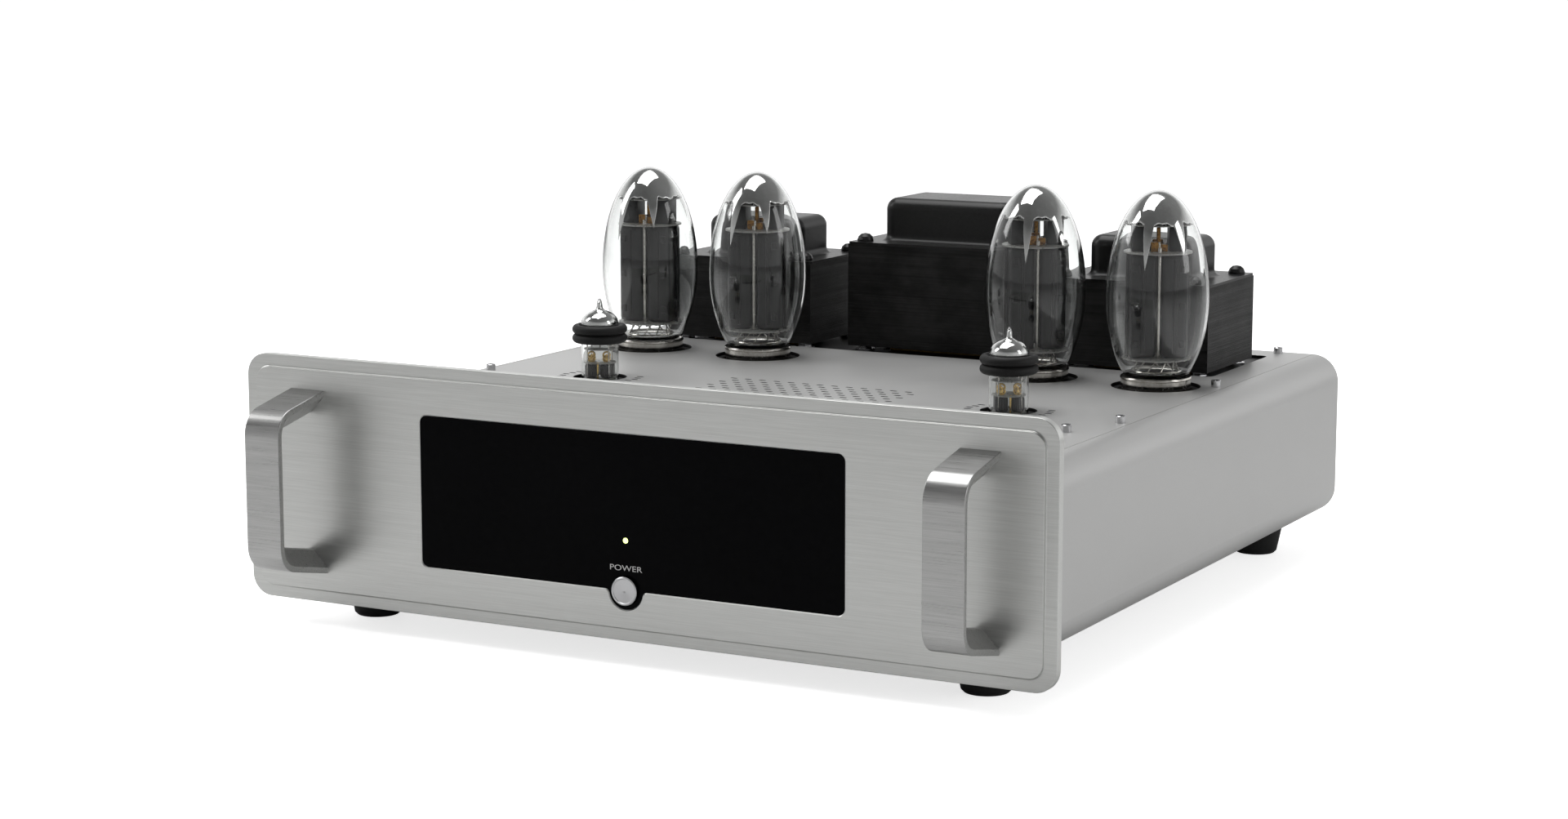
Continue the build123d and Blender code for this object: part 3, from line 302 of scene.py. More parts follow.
# colours, roughness and metal of each finish, then the scale of its grains and the depth of its relief in metres
finishes = {
    "brushedFront": dict(dark=(0.54, 0.545, 0.53), light=(0.66, 0.665, 0.65), rough=(0.30, 0.42), metal=1.0,
                         fine=(45, 2600, 2600), broad=(14, 900, 900), relief=0.2, depth=0.00002),
    "brushedHandle": dict(dark=(0.38, 0.38, 0.375), light=(0.52, 0.52, 0.515), rough=(0.25, 0.36), metal=1.0,
                          fine=(50, 2400, 2400), broad=(20, 900, 900), relief=0.2, depth=0.00002),
    "satinCase": dict(dark=(0.50, 0.50, 0.495), light=(0.55, 0.55, 0.545), rough=(0.40, 0.50), metal=0.6,
                      fine=(1800, 1800, 1800), broad=(14, 14, 14), relief=0.10, depth=0.00003),
    "blackSteel": dict(dark=(0.008, 0.008, 0.008), light=(0.022, 0.022, 0.022), rough=(0.42, 0.6), metal=0.2,
                       fine=(1500, 1500, 1500), broad=(25, 25, 25), relief=0.15, depth=0.00004),
    "blackWindow": dict(dark=(0.0015, 0.0015, 0.0018), light=(0.003, 0.003, 0.0034), rough=(0.03, 0.055), metal=0.0,
                        fine=(300, 300, 300), broad=(9, 9, 9), relief=0.01, depth=0.00001, ior=1.1),
    "blackEnamel": dict(dark=(0.006, 0.006, 0.006), light=(0.012, 0.012, 0.012), rough=(0.28, 0.38), metal=0.0,
                        fine=(620, 620, 620), broad=(30, 30, 30), relief=0.12, depth=0.00008, ior=1.36),
    "blackOxide": dict(dark=(0.012, 0.012, 0.012), light=(0.03, 0.03, 0.03), rough=(0.26, 0.42), metal=0.6,
                       fine=(1200, 1200, 1200), broad=(90, 90, 90), relief=0.1, depth=0.00003),
    "brightSteel": dict(dark=(0.42, 0.42, 0.43), light=(0.72, 0.72, 0.73), rough=(0.14, 0.3), metal=1.0,
                        fine=(900, 900, 900), broad=(150, 150, 150), relief=0.08, depth=0.00003),
    "rubber": dict(dark=(0.006, 0.006, 0.006), light=(0.016, 0.016, 0.016), rough=(0.5, 0.66), metal=0.0,
                   fine=(1100, 1100, 1100), broad=(70, 70, 70), relief=0.2, depth=0.00005, ior=1.35),
    "blackPlastic": dict(dark=(0.008, 0.008, 0.008), light=(0.018, 0.018, 0.018), rough=(0.36, 0.5), metal=0.0,
                         fine=(1300, 1300, 1300), broad=(60, 60, 60), relief=0.12, depth=0.00003),
    "goldPlate": dict(dark=(0.62, 0.42, 0.13), light=(0.86, 0.62, 0.24), rough=(0.14, 0.28), metal=1.0,
                      fine=(900, 900, 900), broad=(120, 120, 120), relief=0.06, depth=0.00002),
    "mica": dict(dark=(0.55, 0.54, 0.51), light=(0.82, 0.81, 0.78), rough=(0.22, 0.4), metal=0.0,
                 fine=(700, 700, 700), broad=(110, 110, 110), relief=0.1, depth=0.00004, clear=0.35),
    "amberMica": dict(dark=(0.20, 0.07, 0.004), light=(0.62, 0.30, 0.03), rough=(0.2, 0.4), metal=0.3,
                      fine=(800, 800, 800), broad=(260, 260, 260), relief=0.12, depth=0.00005),
    "carbonPlate": dict(dark=(0.008, 0.008, 0.008), light=(0.022, 0.022, 0.023), rough=(0.26, 0.40), metal=0.2,
                        fine=(1400, 1400, 260), broad=(60, 60, 30), relief=0.15, depth=0.00005, ior=1.45),
    "nickel": dict(dark=(0.40, 0.38, 0.35), light=(0.70, 0.68, 0.64), rough=(0.12, 0.3), metal=1.0,
                   fine=(700, 700, 700), broad=(140, 140, 90), relief=0.1, depth=0.00004),
    "boardGreen": dict(dark=(0.006, 0.045, 0.02), light=(0.012, 0.10, 0.04), rough=(0.3, 0.45), metal=0.0,
                       fine=(500, 160, 500), broad=(60, 120, 60), relief=0.1, depth=0.00005),
    "ceramic": dict(dark=(0.62, 0.60, 0.55), light=(0.80, 0.78, 0.73), rough=(0.25, 0.4), metal=0.0,
                    fine=(600, 600, 600), broad=(60, 60, 60), relief=0.06, depth=0.00004),
    "canSleeve": dict(dark=(0.01, 0.014, 0.05), light=(0.02, 0.03, 0.09), rough=(0.25, 0.4), metal=0.0,
                      fine=(400, 400, 400), broad=(40, 40, 40), relief=0.05, depth=0.00004),
    "coilTape": dict(dark=(0.20, 0.12, 0.03), light=(0.45, 0.30, 0.10), rough=(0.4, 0.6), metal=0.0,
                     fine=(700, 700, 1500), broad=(40, 40, 260), relief=0.2, depth=0.0001),
}
made = {name: makeFinish(name, look) for name, look in finishes.items()}


def makeLaminations():
    # stacked sheets: thin uneven lines round the block, a few of them proud and a little brighter
    material, tree, shader = openMaterial("laminations")
    sheets = grain(tree, (5, 5, 1500), 4.0, 0.65)
    bands = grain(tree, (3, 3, 260), 2.0, 0.5, (0.2, 0.5, 0.9))
    stain = grain(tree, (40, 40, 60), 3.0, 0.6, (0.6, 0.3, 0.1))
    lines = combine(tree, "ADD", combine(tree, "MULTIPLY", sheets, 0.65), combine(tree, "MULTIPLY", bands, 0.35))
    shade = spread(tree, combine(tree, "MULTIPLY", lines, stain), 0.16, 0.42, 0.0, 1.0)
    tree.links.new(tint(tree, shade, (0.002, 0.002, 0.002), (0.024, 0.0235, 0.023)), shader.inputs["Base Color"])
    tree.links.new(spread(tree, lines, 0.35, 0.65, 0.36, 0.62), shader.inputs["Roughness"])
    roughen(tree, shader, lines, 0.9, 0.0005)
    shader.inputs["IOR"].default_value = 1.3
    return material


def makeGlass():
    # clear blown glass with a slow ripple
    material, tree, shader = openMaterial("clearGlass")
    ripple = grain(tree, (45, 45, 22), 1.0, 0.4)
    tree.links.new(spread(tree, ripple, 0.3, 0.7, 0.0, 0.012), shader.inputs["Roughness"])
    tree.links.new(tint(tree, ripple, (0.93, 0.945, 0.94), (0.985, 0.99, 0.985)), shader.inputs["Base Color"])
    roughen(tree, shader, ripple, 0.05, 0.0006)
    shader.inputs["IOR"].default_value = 1.48
    shader.inputs["Transmission Weight"].default_value = 1.0
    return material


def makeMirrorFilm():
    # flashed metal on the inside of the glass, a little cloudy
    material, tree, shader = openMaterial("mirrorFilm")
    cloud = grain(tree, (120, 120, 60), 3.0, 0.6)
    tree.links.new(tint(tree, cloud, (0.55, 0.54, 0.53), (0.86, 0.86, 0.86)), shader.inputs["Base Color"])
    tree.links.new(spread(tree, cloud, 0.35, 0.75, 0.01, 0.07), shader.inputs["Roughness"])
    roughen(tree, shader, cloud, 0.03, 0.0004)
    shader.inputs["Metallic"].default_value = 1.0
    return material


def makeTurnedSteel():
    # circular tool marks about the button's axis
    material, tree, shader = openMaterial("turnedSteel")
    low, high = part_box("power_button")
    place = tree.nodes.new("ShaderNodeTexCoord")
    mapping = tree.nodes.new("ShaderNodeMapping")
    mapping.inputs["Location"].default_value = (-(low.x + high.x) / 2, 0, -(low.z + high.z) / 2)
    rings = tree.nodes.new("ShaderNodeTexWave")
    rings.wave_type = "RINGS"
    rings.rings_direction = "Y"
    rings.inputs["Scale"].default_value = 700
    rings.inputs["Distortion"].default_value = 0.6
    rings.inputs["Detail"].default_value = 2.0
    tangent = tree.nodes.new("ShaderNodeTangent")
    tangent.direction_type = "RADIAL"
    tangent.axis = "Y"
    tree.links.new(place.outputs["Object"], mapping.inputs["Vector"])
    tree.links.new(mapping.outputs["Vector"], rings.inputs["Vector"])
    tree.links.new(tangent.outputs["Tangent"], shader.inputs["Tangent"])
    tone = tint(tree, rings.outputs["Fac"], (0.50, 0.50, 0.51), (0.70, 0.70, 0.71))
    tree.links.new(tone, shader.inputs["Base Color"])
    tree.links.new(spread(tree, rings.outputs["Fac"], 0.0, 1.0, 0.22, 0.32), shader.inputs["Roughness"])
    roughen(tree, shader, rings.outputs["Fac"], 0.06, 0.00003)
    shader.inputs["Metallic"].default_value = 1.0
    shader.inputs["Anisotropic"].default_value = 0.8
    return material


def makeLampLens():
    material, tree, shader = openMaterial("lampLens")
    cell = grain(tree, (900, 900, 900), 1.0)
    tree.links.new(tint(tree, cell, (0.45, 0.62, 0.12), (0.75, 0.85, 0.35)), shader.inputs["Base Color"])
    tree.links.new(tint(tree, cell, (0.55, 0.75, 0.15), (0.95, 1.0, 0.45)), shader.inputs["Emission Color"])
    tree.links.new(spread(tree, cell, 0.3, 0.7, 0.2, 0.35), shader.inputs["Roughness"])
    shader.inputs["Emission Strength"].default_value = 2.2
    return material


made |= {
    "laminations": makeLaminations(),
    "clearGlass": makeGlass(),
    "mirrorFilm": makeMirrorFilm(),
    "turnedSteel": makeTurnedSteel(),
    "lampLens": makeLampLens(),
    "satinDeckPaintedShade": makeFinish("satinDeckPaintedShade", finishes["satinCase"]),
}
# the deck's vent slots and cut edges get painted shade just below its face
paintSlotShade(made["satinDeckPaintedShade"], deckHeight)


def ending(*tails):
    return [name for name in nodes if name.endswith(tails)]


wear(["faceplate"], made["brushedFront"])
wear(["handle_left", "handle_right"], made["brushedHandle"])
wear(["side_panel_left", "side_panel_right", "bottom_cover", "rear_panel"], made["satinCase"])
# the top cover wears the satin finish with painted shade in its slots and at its edges
wear(["top_cover"], made["satinDeckPaintedShade"])
wear(["chassis_plate", "front_subpanel"], made["blackSteel"])
wear(["window_panel"], made["blackWindow"])
wear(["power_button"], made["turnedSteel"])
wear(["power_lamp"], made["lampLens"])
wear(ending("_core"), made["laminations"])
wear(ending("transformer_cover"), made["blackEnamel"])
wear(["transformer_bolts"], made["blackOxide"])
wear(["transformer_nuts", "handle_screws", "case_screws"], made["brightSteel"])
wear(["feet", *ending("damping_rings")], made["rubber"])
wear(["mains_inlet", "fuse_holder", "fuse_cap", "post_bushes", "power_switch"], made["blackPlastic"])
wear(["input_jacks", "speaker_posts", *(name for name in nodes if name.startswith("speaker_knob"))], made["goldPlate"])
wear(["main_board", "supply_board"], made["boardGreen"])
wear(["octal_sockets", "noval_sockets"], made["ceramic"])
wear(["filter_capacitors"], made["canSleeve"])
wear(["transformer_windings"], made["coilTape"])
wear(["fuse_link", *ending("_glass")], made["clearGlass"])
wear(ending("electrodes"), made["carbonPlate"])
wear(ending("_base"), made["nickel"])
print("materials made")


# power tubes: millimetres, upward from the deck

powerTube = {
    "micaLow": 16.6, "micaHigh": 77.2, "spacer": 93.0, "micaRadius": 19.2, "spacerRadius": 18.0,
    "turns": (8, 14, 34, 28),
}
bulb = {
    "radius": 29.6, "middle": 50.0, "top": 112.3, "lowAxis": 55.0, "start": 6.6, "wall": 1.2, "floor": 1.5,
    "rows": 56, "steps": 96,
}


def bulbAxis(above, shrink):
    return (bulb["top"] - bulb["middle"] if above else bulb["lowAxis"]) - shrink


def bulbRadiusAt(height, shrink):
    axis = bulbAxis(height > bulb["middle"], shrink)
    level = min(1.0, abs(height - bulb["middle"]) / axis)
    return (bulb["radius"] - shrink) * (1 - level * level) ** 0.5


def bulbProfile(shrink, low):
    # equal turns along the ovals keep the crown round
    start = asin((low - bulb["middle"]) / bulbAxis(False, shrink))
    points = []
    for row in range(bulb["rows"] + 1):
        angle = start + (pi / 2 - start) * row / bulb["rows"]
        height = bulb["middle"] + bulbAxis(angle > 0, shrink) * sin(angle)
        points.append(((bulb["radius"] - shrink) * cos(angle), height))
    points[-1] = (0.0, points[-1][1])
    return points


def makeShell(outer, inner, steps, name):
    # the wall's inner face looks into the hollow
    skin = lathe([(0.0, outer[0][1])] + outer, steps)
    hollow = lathe([(0.0, inner[0][1])] + inner, steps, True)
    return settle(joinPieces([skin, hollow]), name, 60)


def makeBulb():
    outer = bulbProfile(0, bulb["start"])
    inner = bulbProfile(bulb["wall"], bulb["start"] + bulb["floor"])
    return makeShell(outer, inner, bulb["steps"], "bulb")


film = {
    "rows": 26, "steps": 180, "gap": 0.12, "sheet": 0.08, "edge": 94.0,
    # height and count of the small waves, then angle, half width and drop of the long tongues
    "waves": ((0.7, 9), (0.4, 23)),
    "tongues": ((-62, 9, 17), (-112, 8, 25), (40, 9, 14), (160, 10, 20)),
}


def filmEdgeAt(angle):
    edge = film["edge"] + sum(height * sin(angle * count) for height, count in film["waves"])
    for middle, width, drop in film["tongues"]:
        away = abs((-angle * 180 / pi - middle + 180) % 360 - 180)
        edge -= drop * max(0.0, 1 - away / width)
    return edge


def makeFilm():
    # mirror cap inside the crown: the rows of a flat fan are moved on to it, from its ragged edge up to the top
    rows = film["rows"]
    shrink = bulb["wall"] + film["gap"]
    top = bulb["top"] - shrink
    fan = [(bulb["radius"] * (1 - row / rows) + (row < rows), row) for row in range(rows + 1)]
    piece = lathe(fan, film["steps"])
    for point in piece.data.vertices:
        angle = Vector((point.co.x, point.co.y)).angle_signed(Vector((1, 0)), 0.0)
        edge = filmEdgeAt(angle)
        row = point.co.z / mm / rows
        height = edge + (top - edge) * sin(row * pi / 2)
        radius = bulbRadiusAt(height, shrink) if row < 0.999 else 0.0
        point.co = Vector((radius * cos(angle), -radius * sin(angle), height)) * mm
    return thicken(settle(piece, "film", 60), film["sheet"])


micaDisc = {"sides": 96, "toothEvery": 4, "tooth": 0.7}


def makeDisc(radius, height, sheet, teeth):
    sides = micaDisc["sides"]
    piece = addRound(radius, height - sheet / 2, height + sheet / 2, sides=sides)
    if teeth:
        # every fourth face of the rim stands out as a tooth
        def isTooth(face):
            middle = face.calc_center_median()
            flank = abs(face.normal.z) < 0.5
            turn = Vector((middle.x, middle.y)).angle_signed(Vector((1, 0)))
            return flank and int((turn + pi) / (2 * pi) * sides) % micaDisc["toothEvery"] == 0
        pickFaces(piece, isTooth)
        bpy.ops.mesh.extrude_region_shrink_fatten(TRANSFORM_OT_shrink_fatten={"value": micaDisc["tooth"] * mm})
        bpy.ops.object.mode_set(mode="OBJECT")
    return settle(piece, "disc", 30)


anode = {
    "width": 33.0, "depth": 21.0, "sheet": 0.7, "slot": 3.2, "gap": 0.4, "bend": 3.0,
    "rib": (2.2, 1.2), "ribProud": 0.2, "ribShort": 6.0, "wing": (2.2, 1.0), "wingOut": 0.6,
    "lug": (3.4, 3.4, 4.2), "lugIn": 3.4, "lugSunk": 0.6, "lugLevels": (0.14, 0.5, 0.86),
}


def makeAnode():
    # two bent halves with a slot between them, pressed ribs, side wings, and lugs that lock the halves together
    look = anode
    low, high = powerTube["micaLow"] + look["gap"], powerTube["micaHigh"] - look["gap"]
    tall, halfway = high - low, (low + high) / 2
    reach = (look["width"] - look["slot"]) / 2
    parts = []
    for side in (-1, 1):
        middle = side * (look["slot"] / 2 + reach / 2)
        shell = addBrick((reach, look["depth"], tall), (middle, 0, halfway), look["bend"], 4)
        pickFaces(shell, isLevel)
        bpy.ops.mesh.delete(type="FACE")
        bpy.ops.object.mode_set(mode="OBJECT")
        parts.append(thicken(settle(shell, "plate", 45), look["sheet"]))
        for face in (-1, 1):
            place = (middle, face * (look["depth"] / 2 + look["ribProud"]), halfway)
            parts.append(addBrick((*look["rib"], tall - look["ribShort"]), place, 0.5))
        place = (side * (look["width"] / 2 + look["wingOut"]), 0, halfway)
        parts.append(addBrick((*look["wing"], tall), place, 0.2))
        for level in look["lugLevels"]:
            x, y = side * (look["width"] / 2 - look["lugIn"]), look["lugSunk"] - look["depth"] / 2
            parts.append(addBrick(look["lug"], (x, y, low + tall * level), 0.5))
    return settle(joinPieces(parts), "anode", 35)


rods = {
    "foot": 13.6, "soft": 0.3,
    # x, y, radius and top of each rod
    "struts": ((-13, 0, 0.8, 95.0), (13, 0, 0.8, 95.0), (-7, -5, 0.5, 93.0), (7, 5, 0.5, 93.0)),
    "supports": ((0, -6, 0.7, 83.2), (0, 6, 0.7, 83.2), (-4, 0, 0.9, 82.2), (4, 0, 0.9, 82.2)),
    "grid": {"radius": 1.1, "low": 15.6, "high": 80.2, "y": -8.5},
}


def makeRods():
    # cathode, grid supports and the struts up to the spacer
    parts = []
    for x, y, radius, top in rods["struts"] + rods["supports"]:
        parts.append(addRod(radius, rods["foot"], top, (x, y), 12, rods["soft"]))
    grid = rods["grid"]
    parts.append(addRod(grid["radius"], grid["low"], grid["high"], (0, grid["y"]), 16, rods["soft"]))
    return settle(joinPieces(parts), "rods", 40)


leads = {
    "count": 11, "radius": 0.4, "footCircle": 13.5, "headCircle": 10.5, "firstTurn": 0.2, "twist": 0.45,
    "footHigh": 8.8, "headHigh": 16.3,
    "collar": ((12.8, 8.6), (14.2, 8.6), (14.6, 9.2), (14.2, 9.8), (12.8, 9.8), (12.8, 8.6)),
}


def makeLeads():
    # wires that fan from the glass press up to the lower disc
    look = leads
    wires = []
    for step in range(look["count"]):
        turn = 2 * pi * step / look["count"] + look["firstTurn"]
        foot = onCircle(look["footCircle"], turn, look["footHigh"])
        head = onCircle(look["headCircle"], turn + look["twist"], look["headHigh"])
        way = head - foot
        clearSelection()
        bpy.ops.mesh.primitive_cylinder_add(
            vertices=8, radius=look["radius"] * mm, depth=way.length * mm, location=(foot + head) / 2 * mm)
        wire = bpy.context.object
        wire.rotation_mode = "QUATERNION"
        wire.rotation_quaternion = way.to_track_quat("Z", "Y")
        bpy.ops.object.transform_apply(location=True, rotation=True, scale=True)
        wires.append(wire)
    wires.append(lathe(look["collar"]))
    return settle(joinPieces(wires), "leads", 40)


shields = {"width": 9.5, "depth": 13.0, "x": 10.5, "gap": 0.5, "inset": 0.9, "soft": 0.8}


def makeUpperWorks():
    # dark shields between the upper disc and the spacer
    look = shields
    low, high = powerTube["micaHigh"] + look["gap"], powerTube["spacer"] - look["gap"]
    parts = []
    for side in (-1, 1):
        shield = addBlock((look["width"], look["depth"], high - low), (side * look["x"], 0, (low + high) / 2))
        pickFaces(shield, isLevel)
        bpy.ops.mesh.inset(thickness=look["inset"] * mm)
        bpy.ops.mesh.extrude_region_move(TRANSFORM_OT_translate={"value": (0, 0, 0)})
        bpy.ops.object.mode_set(mode="OBJECT")
        parts.append(softenEdges(shield, look["soft"]))
    return settle(joinPieces(parts), "shields", 35)


# x, y, width and height of each pad
amber = {
    "gap": 0.4, "depth": 2.6, "soft": 0.5,
    "pads": ((-2.6, -5.4, 4.2, 5.5), (2.8, -5.0, 4.0, 4.2), (0.2, 4.6, 6.0, 6.2), (0.0, -1.0, 2.2, 13.5)),
}


def makeAmber():
    low = powerTube["micaHigh"] + amber["gap"]
    parts = []
    for x, y, width, tall in amber["pads"]:
        parts.append(addBrick((width, amber["depth"], tall), (x, y, low + tall / 2), amber["soft"]))
    return settle(joinPieces(parts), "amber", 35)


claws = {
    "count": 12, "circle": 16.4, "firstTurn": 0.13, "apart": 0.9, "wire": 0.42, "tall": 5.2, "cap": (1.2, 2.6, 0.8),
}


def makeClaws():
    # small upright springs round the spacer that steady it in the crown
    look = claws
    low = powerTube["spacer"]
    high = low + look["tall"]
    parts = []
    for step in range(look["count"]):
        turn = 2 * pi * step / look["count"] + look["firstTurn"]
        middle = onCircle(look["circle"], turn, high)
        for shift in (-look["apart"], look["apart"]):
            place = (middle.x - shift * sin(turn), middle.y + shift * cos(turn))
            parts.append(addRound(look["wire"], low, high, place, 8))
        cap = addBlock(look["cap"], (0, 0, 0))
        cap.data.transform(Matrix.Translation(middle * mm) @ Matrix.Rotation(turn, 4, "Z"))
        parts.append(softenEdges(cap, 0.2))
    return settle(joinPieces(parts), "claws", 35)


powerBase = {
    "low": -4.0, "top": 5.2, "waferRadius": 15.5, "keyRadius": 3.9, "keyLong": 12.5,
    "pins": 8, "pinRadius": 1.175, "pinCircle": 8.725, "pinLong": 11.0,
    "rim": ((18.5, 5.6), (19.2, 6.1), (20.0, 6.0), (20.45, 5.3), (20.45, 4.8), (20.0, 4.3), (20.0, -3.4), (19.5, -4.0)),
}


def makePowerBase():
    # rolled metal ring, dark wafer, eight pins and the keyed spigot
    look = powerBase
    low, top, radius = look["low"], look["top"], look["waferRadius"]
    ring = lathe([(radius, top), *look["rim"], (radius, low), (radius, top)], 72)
    ring.data.materials.append(made["nickel"])
    wafer = lathe([(0.0, low), (radius, low), (radius, top), (0.0, top)], 48)
    wafer.data.materials.append(made["blackPlastic"])
    key = addRod(look["keyRadius"], low - look["keyLong"], low, (0, 0), 24, 0.6)
    key.data.materials.append(made["blackPlastic"])
    pins = []
    for step in range(look["pins"]):
        place = onCircle(look["pinCircle"], (step + 0.5) * 2 * pi / look["pins"])
        pin = addRod(look["pinRadius"], low - look["pinLong"], low, place, 16, 0.4)
        pin.data.materials.append(made["nickel"])
        pins.append(pin)
    return settle(joinPieces([ring, wafer, key] + pins), "base", 40)


def placePowerTubes():
    look = powerTube
    template = {
        "bulb": (makeBulb(), "clearGlass", "tube_glass"),
        "film": (makeFilm(), "mirrorFilm", "electrodes"),
        "lowDisc": (makeDisc(look["micaRadius"], look["micaLow"], 0.8, True), "mica", "electrodes"),
        "highDisc": (makeDisc(look["micaRadius"] + 0.3, look["micaHigh"], 0.8, False), "mica", "electrodes"),
        "spacer": (makeDisc(look["spacerRadius"], look["spacer"], 0.7, True), "mica", "electrodes"),
        "anode": (makeAnode(), "carbonPlate", "electrodes"),
        "rods": (makeRods(), "nickel", "electrodes"),
        "leads": (makeLeads(), "nickel", "electrodes"),
        "shields": (makeUpperWorks(), "carbonPlate", "electrodes"),
        "amber": (makeAmber(), "amberMica", "electrodes"),
        "claws": (makeClaws(), "blackOxide", "electrodes"),
        "base": (makePowerBase(), None, "tube_base"),
    }
    for number in range(1, 5):
        body = f"power_tube_{number}"
        for part, (piece, finish, slot) in template.items():
            copy = copyPiece(piece, f"{body}_{part}", tubeFoot(body), radians(look["turns"][number - 1]))
            if finish:
                wearOne(copy, made[finish])
            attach(copy, body)
            if part == "bulb":
                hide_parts(body + "_glass")
            if part == "anode":
                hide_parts(body + "_electrodes")
            if part == "base":
                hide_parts(body + "_base")
    dropPieces([piece for piece, _, _ in template.values()])


placePowerTubes()
print("power tubes placed")


# driver tubes: millimetres, upward from the deck

driverTube = {
    "low": -3.8, "discs": (-0.5, 8.8, 16.8), "discRadius": 9.3, "discHalf": 0.3, "turns": {"left": 20, "right": 32},
}
driverGlass = {
    "radius": 10.9, "dome": 31.4, "domeHigh": 8.0, "domeTurn": 68, "shoulder": 39.4, "neck": 1.6, "tip": 46.0,
    "wall": 0.8, "floor": 2.5, "steps": 64, "filmLow": 27.0, "filmGap": 0.1, "filmSheet": 0.06, "filmBelowTip": 1.2,
}


def driverProfile(shrink, low):
    # straight wall, dome, then the drawn nipple
    look = driverGlass
    radius = look["radius"] - shrink
    points = [(radius, low), (radius, look["dome"])]
    for step in range(1, 13):
        turn = radians(look["domeTurn"]) * step / 12
        points.append((radius * cos(turn), look["dome"] + (look["domeHigh"] - shrink) * sin(turn)))
    neck, shoulder = look["neck"] - shrink * 0.6, look["shoulder"]
    points.append((neck + 1.2, points[-1][1] + (shoulder - points[-1][1]) * 0.55 + 0.2))
    return points + [
        (neck + 0.45, shoulder + 0.9 - shrink * 0.5),
        (neck + 0.2, shoulder + 1.8 - shrink * 0.5),
        (neck + 0.15, shoulder + 3.0 - shrink),
        (neck - 0.1, shoulder + 4.4 - shrink),
        (neck * 0.72, shoulder + 5.5 - shrink),
        (neck * 0.35, look["tip"] - 0.3 - shrink),
        (0.0, look["tip"] - shrink),
    ]


def makeDriverGlass():
    outer = driverProfile(0, driverTube["low"])
    inner = driverProfile(driverGlass["wall"], driverTube["low"] + driverGlass["floor"])
    return makeShell(outer, inner, driverGlass["steps"], "driverGlass")


def makeDriverFilm():
    look = driverGlass
    points = driverProfile(look["wall"] + look["filmGap"], look["filmLow"])
    points = [point for point in points if point[1] < look["tip"] - look["filmBelowTip"]]
    return thicken(settle(lathe(points, look["steps"]), "driverFilm", 60), look["filmSheet"])


def makeDriverDiscs():
    half = driverTube["discHalf"]
    discs = [addRod(driverTube["discRadius"], z - half, z + half, (0, 0), 48, 0.1) for z in driverTube["discs"]]
    return settle(joinPieces(discs), "discs", 30)


driverPlate = {
    "size": (7.4, 11.2), "x": 4.4, "gap": 0.3, "bend": 1.8, "inset": 0.7, "sink": 2.0,
    "flange": (1.2, 14.4), "flangeShort": 1.0,
}


def makeDriverPlates():
    # two side by side anodes, each a rounded box with a seam flange
    look = driverPlate
    low, high = driverTube["discs"][0] + look["gap"], driverTube["discs"][1] - look["gap"]
    parts = []
    for side in (-1, 1):
        middle = (side * look["x"], 0, (low + high) / 2)
        plate = addBrick((*look["size"], high - low), middle, look["bend"], 3)
        pickFaces(plate, lambda face: face.normal.z > 0.9)
        bpy.ops.mesh.inset(thickness=look["inset"] * mm)
        bpy.ops.mesh.extrude_region_move(TRANSFORM_OT_translate={"value": (0, 0, -look["sink"] * mm)})
        bpy.ops.object.mode_set(mode="OBJECT")
        parts += [plate, addBrick((*look["flange"], high - low - look["flangeShort"]), middle, 0.3)]
    return settle(joinPieces(parts), "plates", 35)


driverGold = {
    "rod": 0.5, "rodLow": -0.5, "rodRise": 5.0, "rodY": (-3.0, 3.0), "bead": (1.3, 0.9), "beadRise": (1.0, 3.6),
    "loop": (1.9, 0.55), "loopY": -2.8, "loopTilt": 70, "loopRise": (2.2, 4.4),
    "post": 0.6, "postY": -6.8, "postDrop": 9.0, "postRise": 0.5,
}


def makeDriverGold():
    # grid collars, cooling loops and supports above the middle disc
    look = driverGold
    base = driverTube["discs"][1]
    parts = []
    for side in (-1, 1):
        x = side * driverPlate["x"]
        for y in look["rodY"]:
            parts.append(addRod(look["rod"], look["rodLow"], base + look["rodRise"], (x, y), 12, 0.2))
            bead = addRound(look["bead"][0], *(base + rise for rise in look["beadRise"]), (x, y), 20, look["bead"][1])
            parts.append(softenEdges(bead, 0.4, 3))
        for rise in look["loopRise"]:
            clearSelection()
            bpy.ops.mesh.primitive_torus_add(
                major_radius=look["loop"][0] * mm, minor_radius=look["loop"][1] * mm,
                major_segments=28, minor_segments=10,
                location=Vector((x, look["loopY"], base + rise)) * mm, rotation=(radians(look["loopTilt"]), 0, 0))
            loop = bpy.context.object
            bpy.ops.object.transform_apply(location=True, rotation=True, scale=True)
            parts.append(loop)
    parts.append(addRod(look["post"], base - look["postDrop"], base + look["postRise"], (0, look["postY"]), 12, 0.2))
    return settle(joinPieces(parts), "gold", 40)


driverWire = {
    "radius": 0.4, "x": 6.2, "y": 5.5, "rise": 4.0, "postTop": 22.5,
    "cup": ((0.0, 22.2), (3.4, 22.2), (4.0, 22.6), (4.0, 23.6), (3.4, 24.0), (0.0, 24.0)),
}


def makeDriverWires():
    # four struts, and the flashing cup on its post
    look = driverWire
    top = driverTube["discs"][2]
    parts = []
    for x in (-look["x"], look["x"]):
        for y in (-look["y"], look["y"]):
            parts.append(addRod(look["radius"], driverTube["low"], top + look["rise"], (x, y), 10, 0.2))
    parts.append(lathe(look["cup"], 32))
    parts.append(addRound(look["radius"], top, look["postTop"], (0, 0), 10))
    return settle(joinPieces(parts), "wires", 40)


driverPin = {"count": 9, "circle": 5.95, "radius": 0.5, "below": 6.5, "inside": 1.5, "firstTurn": 54, "turn": 36}


def makeDriverPins():
    look = driverPin
    low, high = driverTube["low"] - look["below"], driverTube["low"] + look["inside"]
    pins = []
    for step in range(look["count"]):
        place = onCircle(look["circle"], radians(look["firstTurn"] + step * look["turn"]))
        pins.append(addRod(look["radius"], low, high, place, 12, 0.2))
    return settle(joinPieces(pins), "pins", 40)


